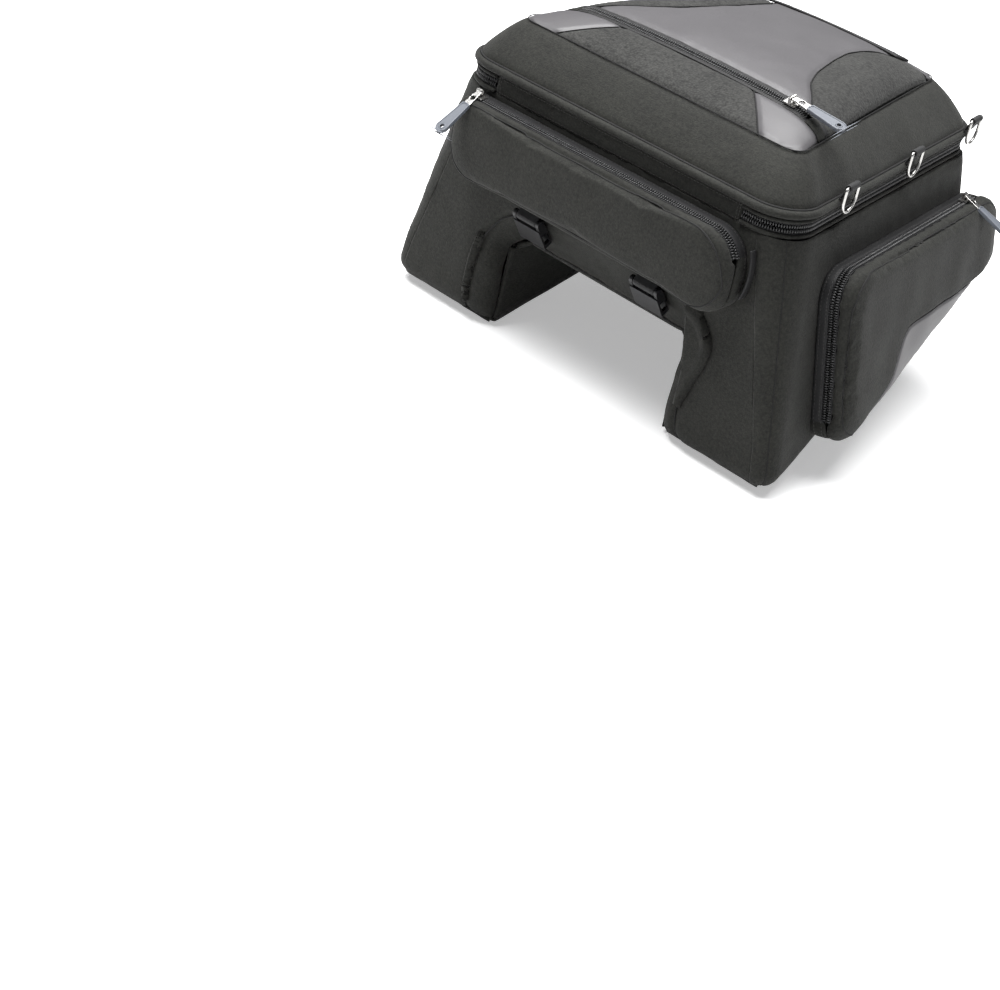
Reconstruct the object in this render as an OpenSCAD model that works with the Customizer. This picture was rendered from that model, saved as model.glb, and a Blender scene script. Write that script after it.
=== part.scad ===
// Tail bag for a motorcycle: a soft expanding case that straddles the tail, with a hinged lid,
// a front pocket and two side pockets, coil zips, D-rings and strap buckles.
// Millimetres. Origin: middle of the tunnel roof's underside. +Z up, -Y towards the rider.

/* [Rim of the lid] */
// Width of the rim at the rider's end
rim_w = 400; // [340:1:440]
// Length of the rim, front to rear
rim_l = 372; // [330:1:420]
// Corner radius of the rim
rim_r = 36; // [28:1:44]
// How much narrower the rim gets on each side, per unit of length
taper = 0.17; // [0.08:0.01:0.2]
// Height of the rim seam above the tunnel roof
rim_z = 162; // [150:1:190]

/* [Lid] */
// Height of the crease above the rim seam
crease_h = 38; // [28:1:48]
// Distance of the crease inside the rim
crease_in = 35; // [28:1:42]
// Corner radius of the crease
crease_r = 14; // [8:1:20]
// Rise of the padded top above the crease
dome_h = 26; // [14:1:34]
// Thickness of the padded lid walls
lid_t = 5; // [3:0.5:7]
// Height of the rounded piping under the rim seam
piping_h = 8; // [6:0.5:9]
// How far the piping stands out past the rim
piping_out = 4.5; // [3:0.5:6]
// Distance of the map pocket zip behind the front crease
map_zip_in = 50; // [40:1:64]
// Gap between the lid top and its lining, which is the map pocket
map_gap = 7; // [5:0.5:9]

/* [Body] */
// Thickness of the padded body panels
wall = 4; // [3:0.5:6]
// How much the side walls lean out, per unit of height
flare = 0.19; // [0.1:0.01:0.22]
// How much the rear wall leans out, per unit of height
rear_flare = 0.1; // [0:0.01:0.14]
// Depth of the lobes below the tunnel roof at the front
lobe_h = 93; // [70:1:110]
// Radius of the lower edges of the lobes
lobe_r = 18; // [12:1:24]
// Height of the main zip band
band_h = 18; // [16:1:24]

/* [Tunnel] */
// Width of the tunnel between the lobes
tunnel_w = 224; // [190:2:240]
// Radius of the corners between the tunnel roof and its walls
tunnel_r = 16; // [10:1:22]
// Width of the tunnel's flared mouth
mouth_w = 278; // [262:2:290]
// Height of the lower edge of the front panel above the roof
mouth_h = 48; // [40:1:52]
// How far the strip above the tail leans back from the front panel
mouth_d = 34; // [26:1:40]
// Thickness of the base panel
base_t = 4; // [3:0.5:5]
// Thickness of the stiffening board inside
board_t = 2.5; // [2:0.5:4]

/* [Front pocket] */
// Width of the front pocket
fp_w = 334; // [300:2:340]
// Height of the lower edge of the front pocket above the roof
fp_z0 = 57; // [50:1:66]
// Height of the front pocket
fp_h = 75; // [62:1:78]
// Depth of the front pocket
fp_d = 28; // [24:1:40]
// Radius of its lower corners
fp_r0 = 24; // [16:1:30]
// Radius of the upper corner that the zip runs round
fp_r1 = 34; // [20:1:40]
// Radius of the upper corner where the zip starts
fp_r2 = 10; // [6:1:14]

/* [Side pockets] */
// Depth of a side pocket
sp_d = 31; // [26:1:40]
// Front end of the top edge, measured rearward along the wall
sp_front = -128; // [-134:1:-116]
// Rear end of the lower edge
sp_rear = 210; // [200:1:214]
// Height of the top edge
sp_top = 104; // [90:1:108]
// Height of the lower front corner
sp_low = -62; // [-64:1:-40]
// Height of the lower rear corner
sp_high = 30; // [26:1:44]

/* [Zips] */
// Thickness of a zip's coils
coil_t = 3; // [2.6:0.1:3.4]
// Width of one side's coils
coil_w = 2.5; // [2:0.1:3]
// Clear width between the two rows of coils, where the slider's neck runs
coil_gap = 1.6; // [1.5:0.1:2]
// Thickness of the zip tape
tape_t = 1.5; // [1.2:0.1:1.8]
// Thickness of the slider's neck
neck_t = 1; // [0.8:0.1:1]
// Length of a pull, from its pin to its end
pull_l = 58; // [46:1:62]
// Radius of the pin that a pull swings on
pin_r = 1; // [0.9:0.1:1.2]
// Radial clearance of the pins and ring bars
run_clear = 0.06; // [0.04:0.01:0.1]

/* [Rings and buckles] */
// Width of the D-ring webbing
tab_w = 19; // [16:1:22]
// Radius of the D-ring wire
ring_wire = 1.5; // [1.2:0.1:2]
// Distance between neighbouring D-rings
ring_step = 132; // [110:1:134]
// Place of the middle D-ring, rearward of the rim's middle
ring_mid = 30; // [15:1:33]
// Width of the strap webbing
strap_w = 25; // [20:1:30]
// Distance of each strap buckle from the middle
buckle_x = 73; // [60:1:80]

/* [Hidden] */

cloth = [0.17, 0.17, 0.16];
weave = [0.21, 0.21, 0.20];
vinyl = [0.33, 0.32, 0.34];
tape_black = [0.09, 0.09, 0.10];
nickel = [0.75, 0.74, 0.72];
plastic = [0.07, 0.07, 0.07];

seam = 0.25;                          // clear line left between two sewn pieces
y_front = -rim_l / 2;
y_rear = rim_l / 2;
band_z = rim_z - piping_h;            // top of the main zip band
body_z = band_z - band_h;             // top edge of the body panels
split_z = (band_z + body_z) / 2;      // where the main zip parts
crease_z = rim_z + crease_h;
tunnel_x = tunnel_w / 2;
mouth_x = mouth_w / 2;
band_x = 147;                         // half the width of the fabric hinge at the front
arc_n = 6;                            // steps in each rounded corner

// ---------- plane geometry ----------

function lerp(a, b, t) = a + (b - a) * t;
function unit(v) = v / norm(v);

// A closed outline moved inwards by d; each corner is [x, y, radius], listed counter-clockwise
function inset(pts, d) = let(n = len(pts)) [for (i = [0:n - 1])
    let(a = pts[(i + n - 1) % n], b = pts[i], c = pts[(i + 1) % n],
        u = unit([b[0] - a[0], b[1] - a[1]]), v = unit([c[0] - b[0], c[1] - b[1]]),
        k = d / (1 + u * v), side = [-u[1] - v[1], u[0] + v[0]])
    [b[0] + k * side[0], b[1] + k * side[1], max(b[2] - d, 0.6)]];

// The points of an outline with its corners rounded, n steps to a corner
function rounded(pts, n = arc_n) = let(m = len(pts)) [for (i = [0:m - 1])
    let(a = pts[(i + m - 1) % m], b = pts[i], c = pts[(i + 1) % m], p = [b[0], b[1]],
        u = unit([a[0] - b[0], a[1] - b[1]]), v = unit([c[0] - b[0], c[1] - b[1]]),
        half = acos(u * v) / 2, mid = p + unit(u + v) * b[2] / sin(half),
        from = p + u * b[2] / tan(half) - mid, to = p + v * b[2] / tan(half) - mid,
        a0 = atan2(from[1], from[0]), turn = 180 - 2 * half)
    for (k = [0:n]) mid + b[2] * [cos(a0 + turn * k / n), sin(a0 + turn * k / n)]];

// The strip between two insets of an outline
module strip(pts, from, to, n = arc_n) {
    outer = rounded(inset(pts, from), n);
    inner = rounded(inset(pts, to), n);
    m = len(outer);
    polygon(concat(outer, inner), [[for (i = [0:m - 1]) i], [for (i = [0:m - 1]) m + i]]);
}

// ---------- skins ----------

// A closed sheet between an outer and an inner grid of points; rows run to the right and columns
// run down, as seen from the outside
module sheet(outer, inner) {
    rows = len(outer);
    cols = len(outer[0]);
    points = concat([for (r = outer) each r], [for (r = inner) each r]);
    function at(i, j, k) = k * rows * cols + i * cols + j;
    function quad(a, b, c, d) = [[a, b, c], [a, c, d]];
    faces = concat(
        [for (i = [0:rows - 2], j = [0:cols - 2]) each concat(
            quad(at(i, j, 0), at(i + 1, j, 0), at(i + 1, j + 1, 0), at(i, j + 1, 0)),
            quad(at(i, j, 1), at(i, j + 1, 1), at(i + 1, j + 1, 1), at(i + 1, j, 1)))],
        [for (i = [0:rows - 2]) each concat(
            quad(at(i, 0, 0), at(i, 0, 1), at(i + 1, 0, 1), at(i + 1, 0, 0)),
            quad(at(i, cols - 1, 0), at(i + 1, cols - 1, 0), at(i + 1, cols - 1, 1),
                at(i, cols - 1, 1)))],
        [for (j = [0:cols - 2]) each concat(
            quad(at(0, j, 0), at(0, j + 1, 0), at(0, j + 1, 1), at(0, j, 1)),
            quad(at(rows - 1, j, 0), at(rows - 1, j, 1), at(rows - 1, j + 1, 1),
                at(rows - 1, j + 1, 0)))]);
    polyhedron(points, faces, convexity = 6);
}

// A tube of equal cross-sections, closed into a ring or capped at both ends
module sweep(sections, closed = false) {
    n = len(sections);
    m = len(sections[0]);
    last = closed ? n - 1 : n - 2;
    walls = [for (i = [0:last], j = [0:m - 1]) let(a = (i + 1) % n, b = (j + 1) % m) each [
        [i * m + j, a * m + j, i * m + b], [i * m + b, a * m + j, a * m + b]]];
    caps = closed ? [] : [[for (j = [0:m - 1]) j], [for (j = [m - 1:-1:0]) (n - 1) * m + j]];
    polyhedron([for (s = sections) each s], concat(walls, caps), convexity = 6);
}

// ---------- body ----------

function half_w(y, z) = rim_w / 2 + flare * (rim_z - z) - taper * (y - y_front);
function rear_y(z) = y_rear + rear_flare * (rim_z - z);
function lobe_z(y) = min(0, -lobe_h * (1 - (y - y_front) / (rear_y(0) - lobe_r - y_front)));
function corner_r(z) = lerp(rim_r, lobe_r, min(1, (rim_z - z) / (rim_z + lobe_h / 2)));

// Outline of the body at height z, as corners from the front right, counter-clockwise
function body_outline(z) = let(r = corner_r(z), yr = rear_y(z)) [
    [half_w(y_front, z), y_front, r], [half_w(yr, z), yr, r],
    [-half_w(yr, z), yr, r], [-half_w(y_front, z), y_front, r]];
function body_ring(z, d) = rounded(inset(body_outline(z), d));

ring_len = 4 * (arc_n + 1);
ring_rr = arc_n + 1 + arc_n / 2;      // index of the middle of the rear right corner
ring_rl = ring_rr + arc_n + 1;

// Rows down the wall: the share of the way down, then the angle round the lower edge
wall_steps = [0, 0.2, 0.4, 0.6, 0.8, 1];
edge_steps = [30, 60, 90];

function foot(i) = body_ring(0, lobe_r)[i % ring_len];
function wall_z(i, s) = lerp(body_z, lobe_z(foot(i)[1]) + lobe_r, s);
function wall_point(i, s, t) = let(z = wall_z(i, s), p = body_ring(z, t)[i % ring_len])
    [p[0], p[1], z];
function edge_point(i, a, t) = let(z0 = wall_z(i, 1), r = lobe_r - t,
    p = body_ring(z0, lobe_r - r * cos(a))[i % ring_len])
    [p[0], p[1], z0 - r * sin(a)];
function wall_column(i, t) = concat([for (s = wall_steps) wall_point(i, s, t)],
    [for (a = edge_steps) edge_point(i, a, t)]);
function under_point(i, side, t) = let(p = edge_point(i, 90, t))
    [side * (tunnel_x + wall + seam), p[1], p[2]];

// Side panel: the wall from the front face round to the rear corner seam, and the lobe's underside
module side_panel(side) {
    from = side > 0 ? 0 : ring_rl;
    to = side > 0 ? ring_rr : ring_len - 1;
    function column(i, t) = concat(wall_column(i, t), [under_point(i, side, t)]);
    color(cloth) sheet([for (i = [from:to]) column(i, 0)], [for (i = [from:to]) column(i, wall)]);
}

module rear_panel() {
    color(cloth) sheet([for (i = [ring_rr:ring_rl]) wall_column(i, 0)],
        [for (i = [ring_rr:ring_rl]) wall_column(i, wall)]);
}

// Line where the front panel meets the tunnel's mouth, from the right lobe up to the middle
lobe_front_z = lobe_z(y_front + lobe_r);
mouth_side = [[mouth_x, lobe_front_z], [mouth_x + 2, lobe_front_z * 0.62],
    [mouth_x + 2, lobe_front_z * 0.3], [mouth_x + 1, 0], [mouth_x - 3, mouth_h * 0.4],
    [mouth_x - 15, mouth_h * 0.78], [mouth_x - 36, mouth_h], [mouth_x * 0.4, mouth_h],
    [0, mouth_h]];

// Set-back of the front face at height z, where the lobe's lower edge rounds away
function front_in(z) = let(h = lobe_front_z + lobe_r - z)
    h <= 0 ? 0 : lobe_r - sqrt(max(0, lobe_r * lobe_r - h * h));

// Point of the front face at height z, and the one under it at depth t
function front_skin(z, t) = let(z0 = lobe_front_z + lobe_r, k = (lobe_r - t) / lobe_r)
    [y_front + lobe_r - (lobe_r - front_in(z)) * k, z > z0 ? z : z0 - (z0 - z) * k];
function mirrored(line) = concat([for (p = line) [-p[0], p[1]]],
    [for (i = [len(line) - 2:-1:0]) line[i]]);

// Front panel: it hangs from the hinge band down to the lobes and the mouth line
module front_panel() {
    edge = wall_column(0, 0);
    last = len(edge) - 1;
    foot_x = edge[last][0];
    foot_line = mirrored(concat([for (k = [1, 0.86, 0.72]) [k * foot_x, lobe_front_z]], mouth_side));
    n = len(foot_line);
    function at(i, k, t) = let(
        down = (body_z - edge[k][2]) / (body_z - edge[last][2]),
        share = lerp(2 * i / (n - 1) - 1, foot_line[i][0] / foot_x, down),
        z = lerp(body_z, foot_line[i][1], down))
        [share * (edge[k][0] - seam), each front_skin(z, t)];
    color(cloth) sheet([for (i = [0:n - 1]) [for (k = [0:last]) at(i, k, 0)]],
        [for (i = [0:n - 1]) [for (k = [0:last]) at(i, k, wall)]]);
}

// Tunnel cross-section from the right lobe's inner edge up to the middle, grown outwards by t
function tunnel_side(t) = let(z0 = lobe_front_z, r = tunnel_r) [
    [tunnel_x + t, z0 + t], [tunnel_x + t, z0 * 0.62], [tunnel_x + t, z0 * 0.35],
    [tunnel_x + t, -r], [tunnel_x - r * 0.07 + t, t - r * 0.6], [tunnel_x - r * 0.3 + t, t - r * 0.3],
    [tunnel_x - r, t], [tunnel_x * 0.4, t], [0, t]];

// Mouth: the cheeks of the lobes and the strip above the tail roll in from the front panel
module tunnel_mouth() {
    front = mirrored(mouth_side);
    n = len(front);
    turns = [0, 20, 40, 60, 90];
    function at(i, a, t) = let(
        flat = min(1, max(0, ((n - 1) / 2 - abs(i - (n - 1) / 2) - 2) / 4)),
        c = front[i] - seam * [sign(front[i][0]), flat],
        p = mirrored(tunnel_side(t))[i],
        skin = front_skin(c[1], t), y1 = y_front + lerp(lobe_r, mouth_d, flat))
        [lerp(c[0], p[0], sin(a)), lerp(skin[0], y1, lerp(1 - cos(a), sin(a), flat)),
            lerp(skin[1], p[1], sin(a))];
    color(cloth) sheet([for (i = [0:n - 1]) [for (a = turns) at(i, a, 0)]],
        [for (i = [0:n - 1]) [for (a = turns) at(i, a, wall)]]);
}

// Radius of the tunnel's upper corner, which shrinks where the lobes run out at the rear
function nook_r(y) = min(tunnel_r, -0.8 * lobe_z(y));
tunnel_y0 = y_front + lobe_r + seam;
tunnel_y1 = rear_y(lobe_r) - lobe_r - seam;
tunnel_ys = [for (k = [0:0.125:1]) lerp(tunnel_y0, tunnel_y1 - 8, k)];

// How far the front end of row k sits back to meet the mouth, from the roof seam down
function mouth_back(k) = lerp(lobe_r, mouth_d, 1 - k / 4) - lobe_r;

module tunnel_wall() {
    function section(y, t) = let(r = nook_r(y)) [for (p = [[t - r, t + seam], [t - r * 0.3, t - r * 0.3],
        [t - r * 0.07, t - r * 0.6], [t, -r], [t, lobe_z(y)]]) [tunnel_x + p[0], y, p[1]]];
    function row(k, t) = [for (i = [0:8])
        section(i == 0 ? tunnel_y0 + mouth_back(k) : max(tunnel_ys[i], tunnel_y0 + mouth_back(k)), t)[k]];
    sheet([for (k = [0:4]) row(k, 0)], [for (k = [0:4]) row(k, wall)]);
}
module tunnel_walls() {
    color(cloth) {
        tunnel_wall();
        mirror([1, 0, 0]) tunnel_wall();
    }
}

function roof_x(y) = tunnel_x - nook_r(y) - seam;

// Flat panel that rests on the tail
module base_panel() {
    side = concat([for (y = concat([tunnel_y0 + mouth_d - lobe_r], [for (y = tunnel_ys) if (y > 0) y]))
        [roof_x(y), y]], [[roof_x(tunnel_ys[8]), tunnel_y1]]);
    n = len(side);
    color(cloth) linear_extrude(base_t)
        polygon(concat(side, [for (i = [n - 1:-1:0]) [-side[i][0], side[i][1]]]));
}

// Stiff board that keeps the base flat
module base_board() {
    x = tunnel_x - tunnel_r - 4;
    y0 = tunnel_y0 + mouth_d;
    y1 = tunnel_y1 - 12;
    color(plastic) translate([0, 0, base_t]) linear_extrude(board_t)
        polygon(rounded([[x, y0, 20], [x, y1, 20], [-x, y1, 20], [-x, y0, 20]]));
}

// ---------- main zip and hinge ----------

function rim_outline() = [[rim_w / 2, y_front, rim_r], [rim_w / 2 - taper * rim_l, y_rear, rim_r],
    [taper * rim_l - rim_w / 2, y_rear, rim_r], [-rim_w / 2, y_front, rim_r]];

// Half length of the straight run across the rear, which is a piece of its own: the sliders stay on it
rear_run = rim_w / 2 - taper * rim_l - rim_r / tan(45 + atan(taper) / 2);
joint_line = 0.05;                    // hairline between a straight run and the rounded ones

// The rim's outline where the zip runs: all of it but the fabric hinge at the front
module zip_run(from, to) {
    difference() {
        strip(rim_outline(), from, to);
        translate([-band_x, y_front - 20]) square([2 * band_x, 60]);
        for (a = [-1, 1]) translate([a * rear_run - joint_line / 2, y_rear - 20])
            square([joint_line, 40]);
    }
}
module main_tape(z0, z1, coil_z) {
    color(tape_black) {
        translate([0, 0, z0]) linear_extrude(z1 - z0) zip_run(tape_in, tape_in + tape_t);
        translate([0, 0, coil_z]) linear_extrude(coil_w) zip_run(0, coil_t);
    }
}
tape_in = 1;                          // depth of a zip tape under the fabric's face
half_gap = coil_gap / 2;
module main_zip_body_tape() {
    main_tape(body_z, split_z - half_gap - coil_w, split_z - half_gap - coil_w);
}
module main_zip_lid_tape() {
    main_tape(split_z + half_gap + coil_w, band_z - seam, split_z + half_gap);
}

// Doubled fabric along the front edge, which the lid folds on
module hinge_band() {
    color(cloth) translate([seam - band_x, y_front, body_z])
        cube([2 * (band_x - seam), coil_t, band_h - seam]);
}

// ---------- lid ----------

crease_w = rim_w / 2 - crease_in;     // half width of the crease at the front
crease_y0 = y_front + crease_in;
crease_y1 = y_rear - crease_in;
crease_mid = (crease_y0 + crease_y1) / 2;
crease_half = (crease_y1 - crease_y0) / 2;
crease_taper = taper * 1.26;          // the crease narrows faster than the rim
function side_x(y) = crease_w - crease_taper * (y - crease_y0);
function crease_outline() = let(x0 = side_x(crease_y0), x1 = side_x(crease_y1), r = crease_r)
    [[x0, crease_y0, r], [x1, crease_y1, r], [-x1, crease_y1, r], [-x0, crease_y0, r]];

// Half width of the top at y, with the crease's rounded corners
function arc_x(y, mid) = side_x(mid) - crease_r * sqrt(1 + crease_taper * crease_taper)
    + sqrt(max(0, crease_r * crease_r - (y - mid) * (y - mid)));
function crease_x(y) = let(turn = crease_r * sin(atan(crease_taper)))
    y < crease_y0 + crease_r + turn ? arc_x(y, crease_y0 + crease_r)
    : y > crease_y1 - crease_r + turn ? arc_x(y, crease_y1 - crease_r) : side_x(y);

// Height of the padded top, nearly flat in the middle and falling away at the crease
function swell(x, y) = let(u = abs(x) / side_x(y), v = abs(y - crease_mid) / crease_half)
    max(0, 1 - 0.22 * pow(u, 2) - 0.78 * pow(u, 10)) * max(0, 1 - pow(v, 3.5));
function top_z(x, y) = crease_z + dome_h * swell(x, y);

// Sloping wall between the rim and the crease, with a little roundness
module lid_side_panel() {
    rim = [for (d = [0, lid_t]) rounded(inset(rim_outline(), d))];
    top = rounded(crease_outline());
    bulge = 2.5;
    function out(i, s) = let(q = lerp(rim[0][i], top[i], s), c = unit(rim[0][i] - top[i]))
        [each (q + c * bulge * sin(180 * s)), lerp(rim_z, crease_z, s)];
    function inn(i, s) = [each lerp(rim[1][i], top[i], s), lerp(rim_z, crease_z - lid_t, s)];
    color(cloth) sweep([for (i = [0:ring_len - 1])
        [out(i, 1), out(i, 0.7), out(i, 0.35), out(i, 0), inn(i, 0), inn(i, 0.5), inn(i, 1)]], true);
}

module lid_piping() {
    base = rim_outline();
    turns = [90, 50, 0, -50, -90];
    half = (piping_h - seam) / 2;
    rings = concat([for (a = turns) rounded(inset(base, -piping_out * cos(a)))],
        [rounded(inset(base, lid_t)), rounded(inset(base, lid_t))]);
    heights = concat([for (a = turns) half * sin(a)], [-half, half]);
    color(cloth) sweep([for (i = [0:ring_len - 1]) [for (k = [0:len(rings) - 1])
        [each rings[k][i], band_z + half + heights[k]]]], true);
}

// Part of the padded top between x = a(y) and x = b(y), for the given rows of y
module top_patch(ys, a, b, steps) {
    function at(y, k, d) = let(x = lerp(a(y), b(y), k / steps)) [x, y, top_z(x, y) - d];
    sheet([for (y = ys) [for (k = [0:steps]) at(y, k, 0)]],
        [for (y = ys) [for (k = [0:steps]) at(y, k, lid_t)]]);
}
function steps(a, b, n) = [for (k = [0:n]) lerp(a, b, k / n)];

zip_y = crease_y0 + map_zip_in;
edge_gap = seam + 0.2;                // clear of the crease, whose corners are drawn in short steps
zip_half = 8;                         // half width of the strip that the map zip takes
strip_ys = steps(crease_y0 + seam, zip_y - zip_half, 4);
top_y0 = zip_y + zip_half;            // front edge of the top behind the map zip
top_len = crease_y1 - top_y0;
leaf_end = 0.95;                      // share of the length where the leaf-shaped panels end
top_shares = [0, 0.074, 0.164, 0.283, 0.381, 0.504, 0.619, 0.709, 0.791, 0.852, 0.902, 0.943, 0.959,
    0.984];
top_ys = concat([for (s = top_shares) top_y0 + s * top_len], [crease_y1 - seam]);

// Half width of the woven strip, which narrows from the crease to the zip
strip_share = [0.727, 0.467];         // at the crease and at the zip, of the crease's half width
function strip_x(y) = crease_w
    * lerp(strip_share[0], strip_share[1], (y - crease_y0) / (map_zip_in - zip_half));

// Half width of the smooth panel, waisted between the leaf-shaped side panels: the share of the
// length, and the share of the half width there
waist = [[0, 0.835], [0.074, 0.773], [0.164, 0.667], [0.283, 0.595], [0.504, 0.531], [0.619, 0.524],
    [0.791, 0.594], [0.902, 0.797], [0.943, 0.902]];
leaf_edge = 4;                        // least width of a leaf panel's end
function leaf_x(y) = let(s = (y - top_y0) / top_len)
    s > leaf_end ? crease_x(y) - edge_gap : min(side_x(y) * lookup(s, waist), crease_x(y) - leaf_edge);

module lid_front_strip() {
    color(weave) top_patch(strip_ys, function(y) -strip_x(y), function(y) strip_x(y), 8);
}
module lid_corner_patches() {
    color(vinyl) {
        top_patch(strip_ys, function(y) strip_x(y) + seam, function(y) crease_x(y) - edge_gap, 4);
        top_patch(strip_ys, function(y) edge_gap - crease_x(y), function(y) -strip_x(y) - seam, 4);
    }
}
module lid_top_panel() {
    color(vinyl) top_patch(top_ys, function(y) -leaf_x(y), function(y) leaf_x(y), 10);
}
module lid_leaf_panels() {
    ys = [for (y = top_ys) if (y < top_y0 + leaf_end * top_len) y];
    color(weave) {
        top_patch(ys, function(y) leaf_x(y) + seam, function(y) crease_x(y) - edge_gap, 4);
        top_patch(ys, function(y) edge_gap - crease_x(y), function(y) -leaf_x(y) - seam, 4);
    }
}

// Lining under the padded top; the space above it is the map pocket
lining_t = 1.5;
module lid_lining() {
    ys = steps(crease_y0 + 2, crease_y1 - 2, 10);
    function at(y, k, d) = let(x = (crease_x(y) - edge_gap - 2) * (k / 5 - 1))
        [x, y, crease_z - lid_t - seam + (dome_h - map_gap) * swell(x, y) - d];
    color(tape_black) sheet([for (y = ys) [for (k = [0:10]) at(y, k, 0)]],
        [for (y = ys) [for (k = [0:10]) at(y, k, lining_t)]]);
}

// Map zip: the two rows of coils follow an arc across the top, leaning with the padding
map_end = side_x(zip_y) - 22;
map_reach = map_end - 12;             // half the length over which the zip is a true arc
map_slope = atan((top_z(0, zip_y + zip_half) - top_z(0, zip_y - zip_half)) / (2 * zip_half));
map_rise = top_z(0, zip_y);
map_drop = map_rise - top_z(map_reach, zip_y);
map_r = (map_reach * map_reach + map_drop * map_drop) / (2 * map_drop);
function arc_z(x) = map_rise - map_r + sqrt(map_r * map_r - x * x);
function map_line(x) = abs(x) < map_reach ? arc_z(x) : top_z(x, zip_y);
module map_tape(side) {
    far = side * (zip_half - 1);
    near = side * half_gap;
    bead = side * (half_gap + coil_w);
    loop = [[far, -tape_in], [bead, -tape_in], [bead, 0], [near, 0], [near, -coil_t],
        [bead, -coil_t], [bead, -tape_in - tape_t], [far, -tape_in - tape_t]];
    c = cos(map_slope);
    d = sin(map_slope);
    sweep([for (x = steps(-map_end, map_end, 22)) [for (k = side > 0 ? [0:7] : [7:-1:0])
        [x, zip_y + c * loop[k][0] - d * loop[k][1], map_line(x) + d * loop[k][0] + c * loop[k][1]]]]);
}
module map_zip_tapes() {
    color(tape_black) {
        map_tape(1);
        map_tape(-1);
    }
}

// Webbing handle across the rear of the top, standing up in the middle
handle_x = 78;
handle_in = 30;                       // distance of its middle line inside the rear crease
handle_y = crease_y1 - handle_in;
module carry_handle() {
    half = strap_w / 2;
    xs = steps(-handle_x, handle_x, 12);
    function rise(x) = 0.3 + 13 * (1 - pow(abs(x) / handle_x, 4));
    function at(x, y, d) = let(up = pow(x / handle_x, 4))
        [x, y, lerp(top_z(x, handle_y), top_z(x, y), up) + rise(x) + d];
    color(tape_black) sheet([for (y = [handle_y - half, handle_y, handle_y + half])
            [for (x = xs) at(x, y, 3)]],
        [for (y = [handle_y - half, handle_y, handle_y + half]) [for (x = xs) at(x, y, 0)]]);
}

// ---------- D-rings ----------

ring_out = piping_out + ring_wire + 2;   // the ring's bar, out from the rim line
ring_up = 12;                            // and up from the rim seam
ring_bend = 2.2;                         // bend of the wire at the ends of the bar
ring_half = tab_w / 2 + ring_bend + 0.5; // half width of the ring along its wire
ring_legs = 12;                          // straight length of its sides
skew = atan(taper);

// Places its children at the foot of ring k: X outwards, Y along the rim
module at_ring(side, k) {
    y = ring_mid + (k - 1) * ring_step;
    mirror([side < 0 ? 1 : 0, 0, 0]) translate([half_w(y, rim_z), y, rim_z]) rotate([0, 0, skew])
        children();
}
module ring_tab() {
    bore = ring_wire + run_clear;
    rotate([90, 0, 0]) translate([0, 0, -tab_w / 2]) linear_extrude(tab_w) difference() {
        union() {
            translate([ring_out, ring_up]) circle(bore + 1.6, $fn = 48);
            polygon([[0.6, seam], [4, seam], [ring_out + 2.6, ring_up - 1.5],
                [ring_out - 1, ring_up + 2.9]]);
        }
        translate([ring_out, ring_up]) circle(bore, $fn = 48);
    }
}
module ring_tabs() {
    color(tape_black) for (side = [-1, 1], k = [0:2]) at_ring(side, k) ring_tab();
}
module d_ring(side, k) {
    leg = ring_legs - ring_bend;
    bar = ring_half - ring_bend;
    color(nickel) at_ring(side, k) translate([ring_out, 0, ring_up]) rotate([90, 0, 90]) {
        translate([-bar, 0, 0]) rotate([0, 90, 0]) cylinder(h = 2 * bar, r = ring_wire, $fn = 48);
        for (s = [0, 1]) mirror([s, 0, 0]) {
            translate([bar, -ring_bend, 0]) rotate_extrude(angle = 90, $fn = 48)
                translate([ring_bend, 0]) circle(ring_wire, $fn = 48);
            translate([ring_half, -ring_bend, 0]) rotate([90, 0, 0])
                cylinder(h = leg, r = ring_wire, $fn = 48);
        }
        translate([0, -ring_legs, 0]) rotate([0, 0, 180]) rotate_extrude(angle = 180, $fn = 64)
            translate([ring_half, 0]) circle(ring_wire, $fn = 48);
    }
}

// ---------- pockets ----------

// Heights over the pocket's base, along its depth
split_n = 15.5;                       // where the zip parts
lip = 1.2;                            // tape between the coils and the fabric
frame_n = split_n - half_gap - coil_w - lip;
face_n = split_n + half_gap + coil_w + lip;
gusset_t = 2.5;
hinge_gap = 0.6;                      // fold line of the cover, where there is no zip
coil_out = 0.4;                       // how far the coils stand out of the gusset
lap = 0.5;                            // how far the gusset reaches up into the face's edge

// Gusset sewn to the bag; it stands higher where there is no zip. The children are the zip's zone
module pocket_frame(outline) {
    color(cloth) {
        translate([0, 0, seam]) linear_extrude(frame_n - seam) strip(outline, 0, gusset_t);
        translate([0, 0, frame_n + joint_line])
            linear_extrude(split_n - hinge_gap / 2 - frame_n - joint_line) difference() {
                strip(outline, 0, gusset_t);
                children();
            }
    }
}
// Tape and coils over the children's zone, with the straight run ending at turn_x
module pocket_tape(outline, tape_n, coil_n, turn_x) {
    module part(from, to) {
        difference() {
            intersection() {
                strip(outline, from, to);
                children();
            }
            translate([turn_x, -rim_w]) square([joint_line, 2 * rim_w]);
        }
    }
    color(tape_black) {
        translate([0, 0, tape_n]) linear_extrude(lip) part(0.8, 0.8 + tape_t) children();
        translate([0, 0, coil_n]) linear_extrude(coil_w) part(-coil_out, coil_t - coil_out) children();
    }
}

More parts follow.
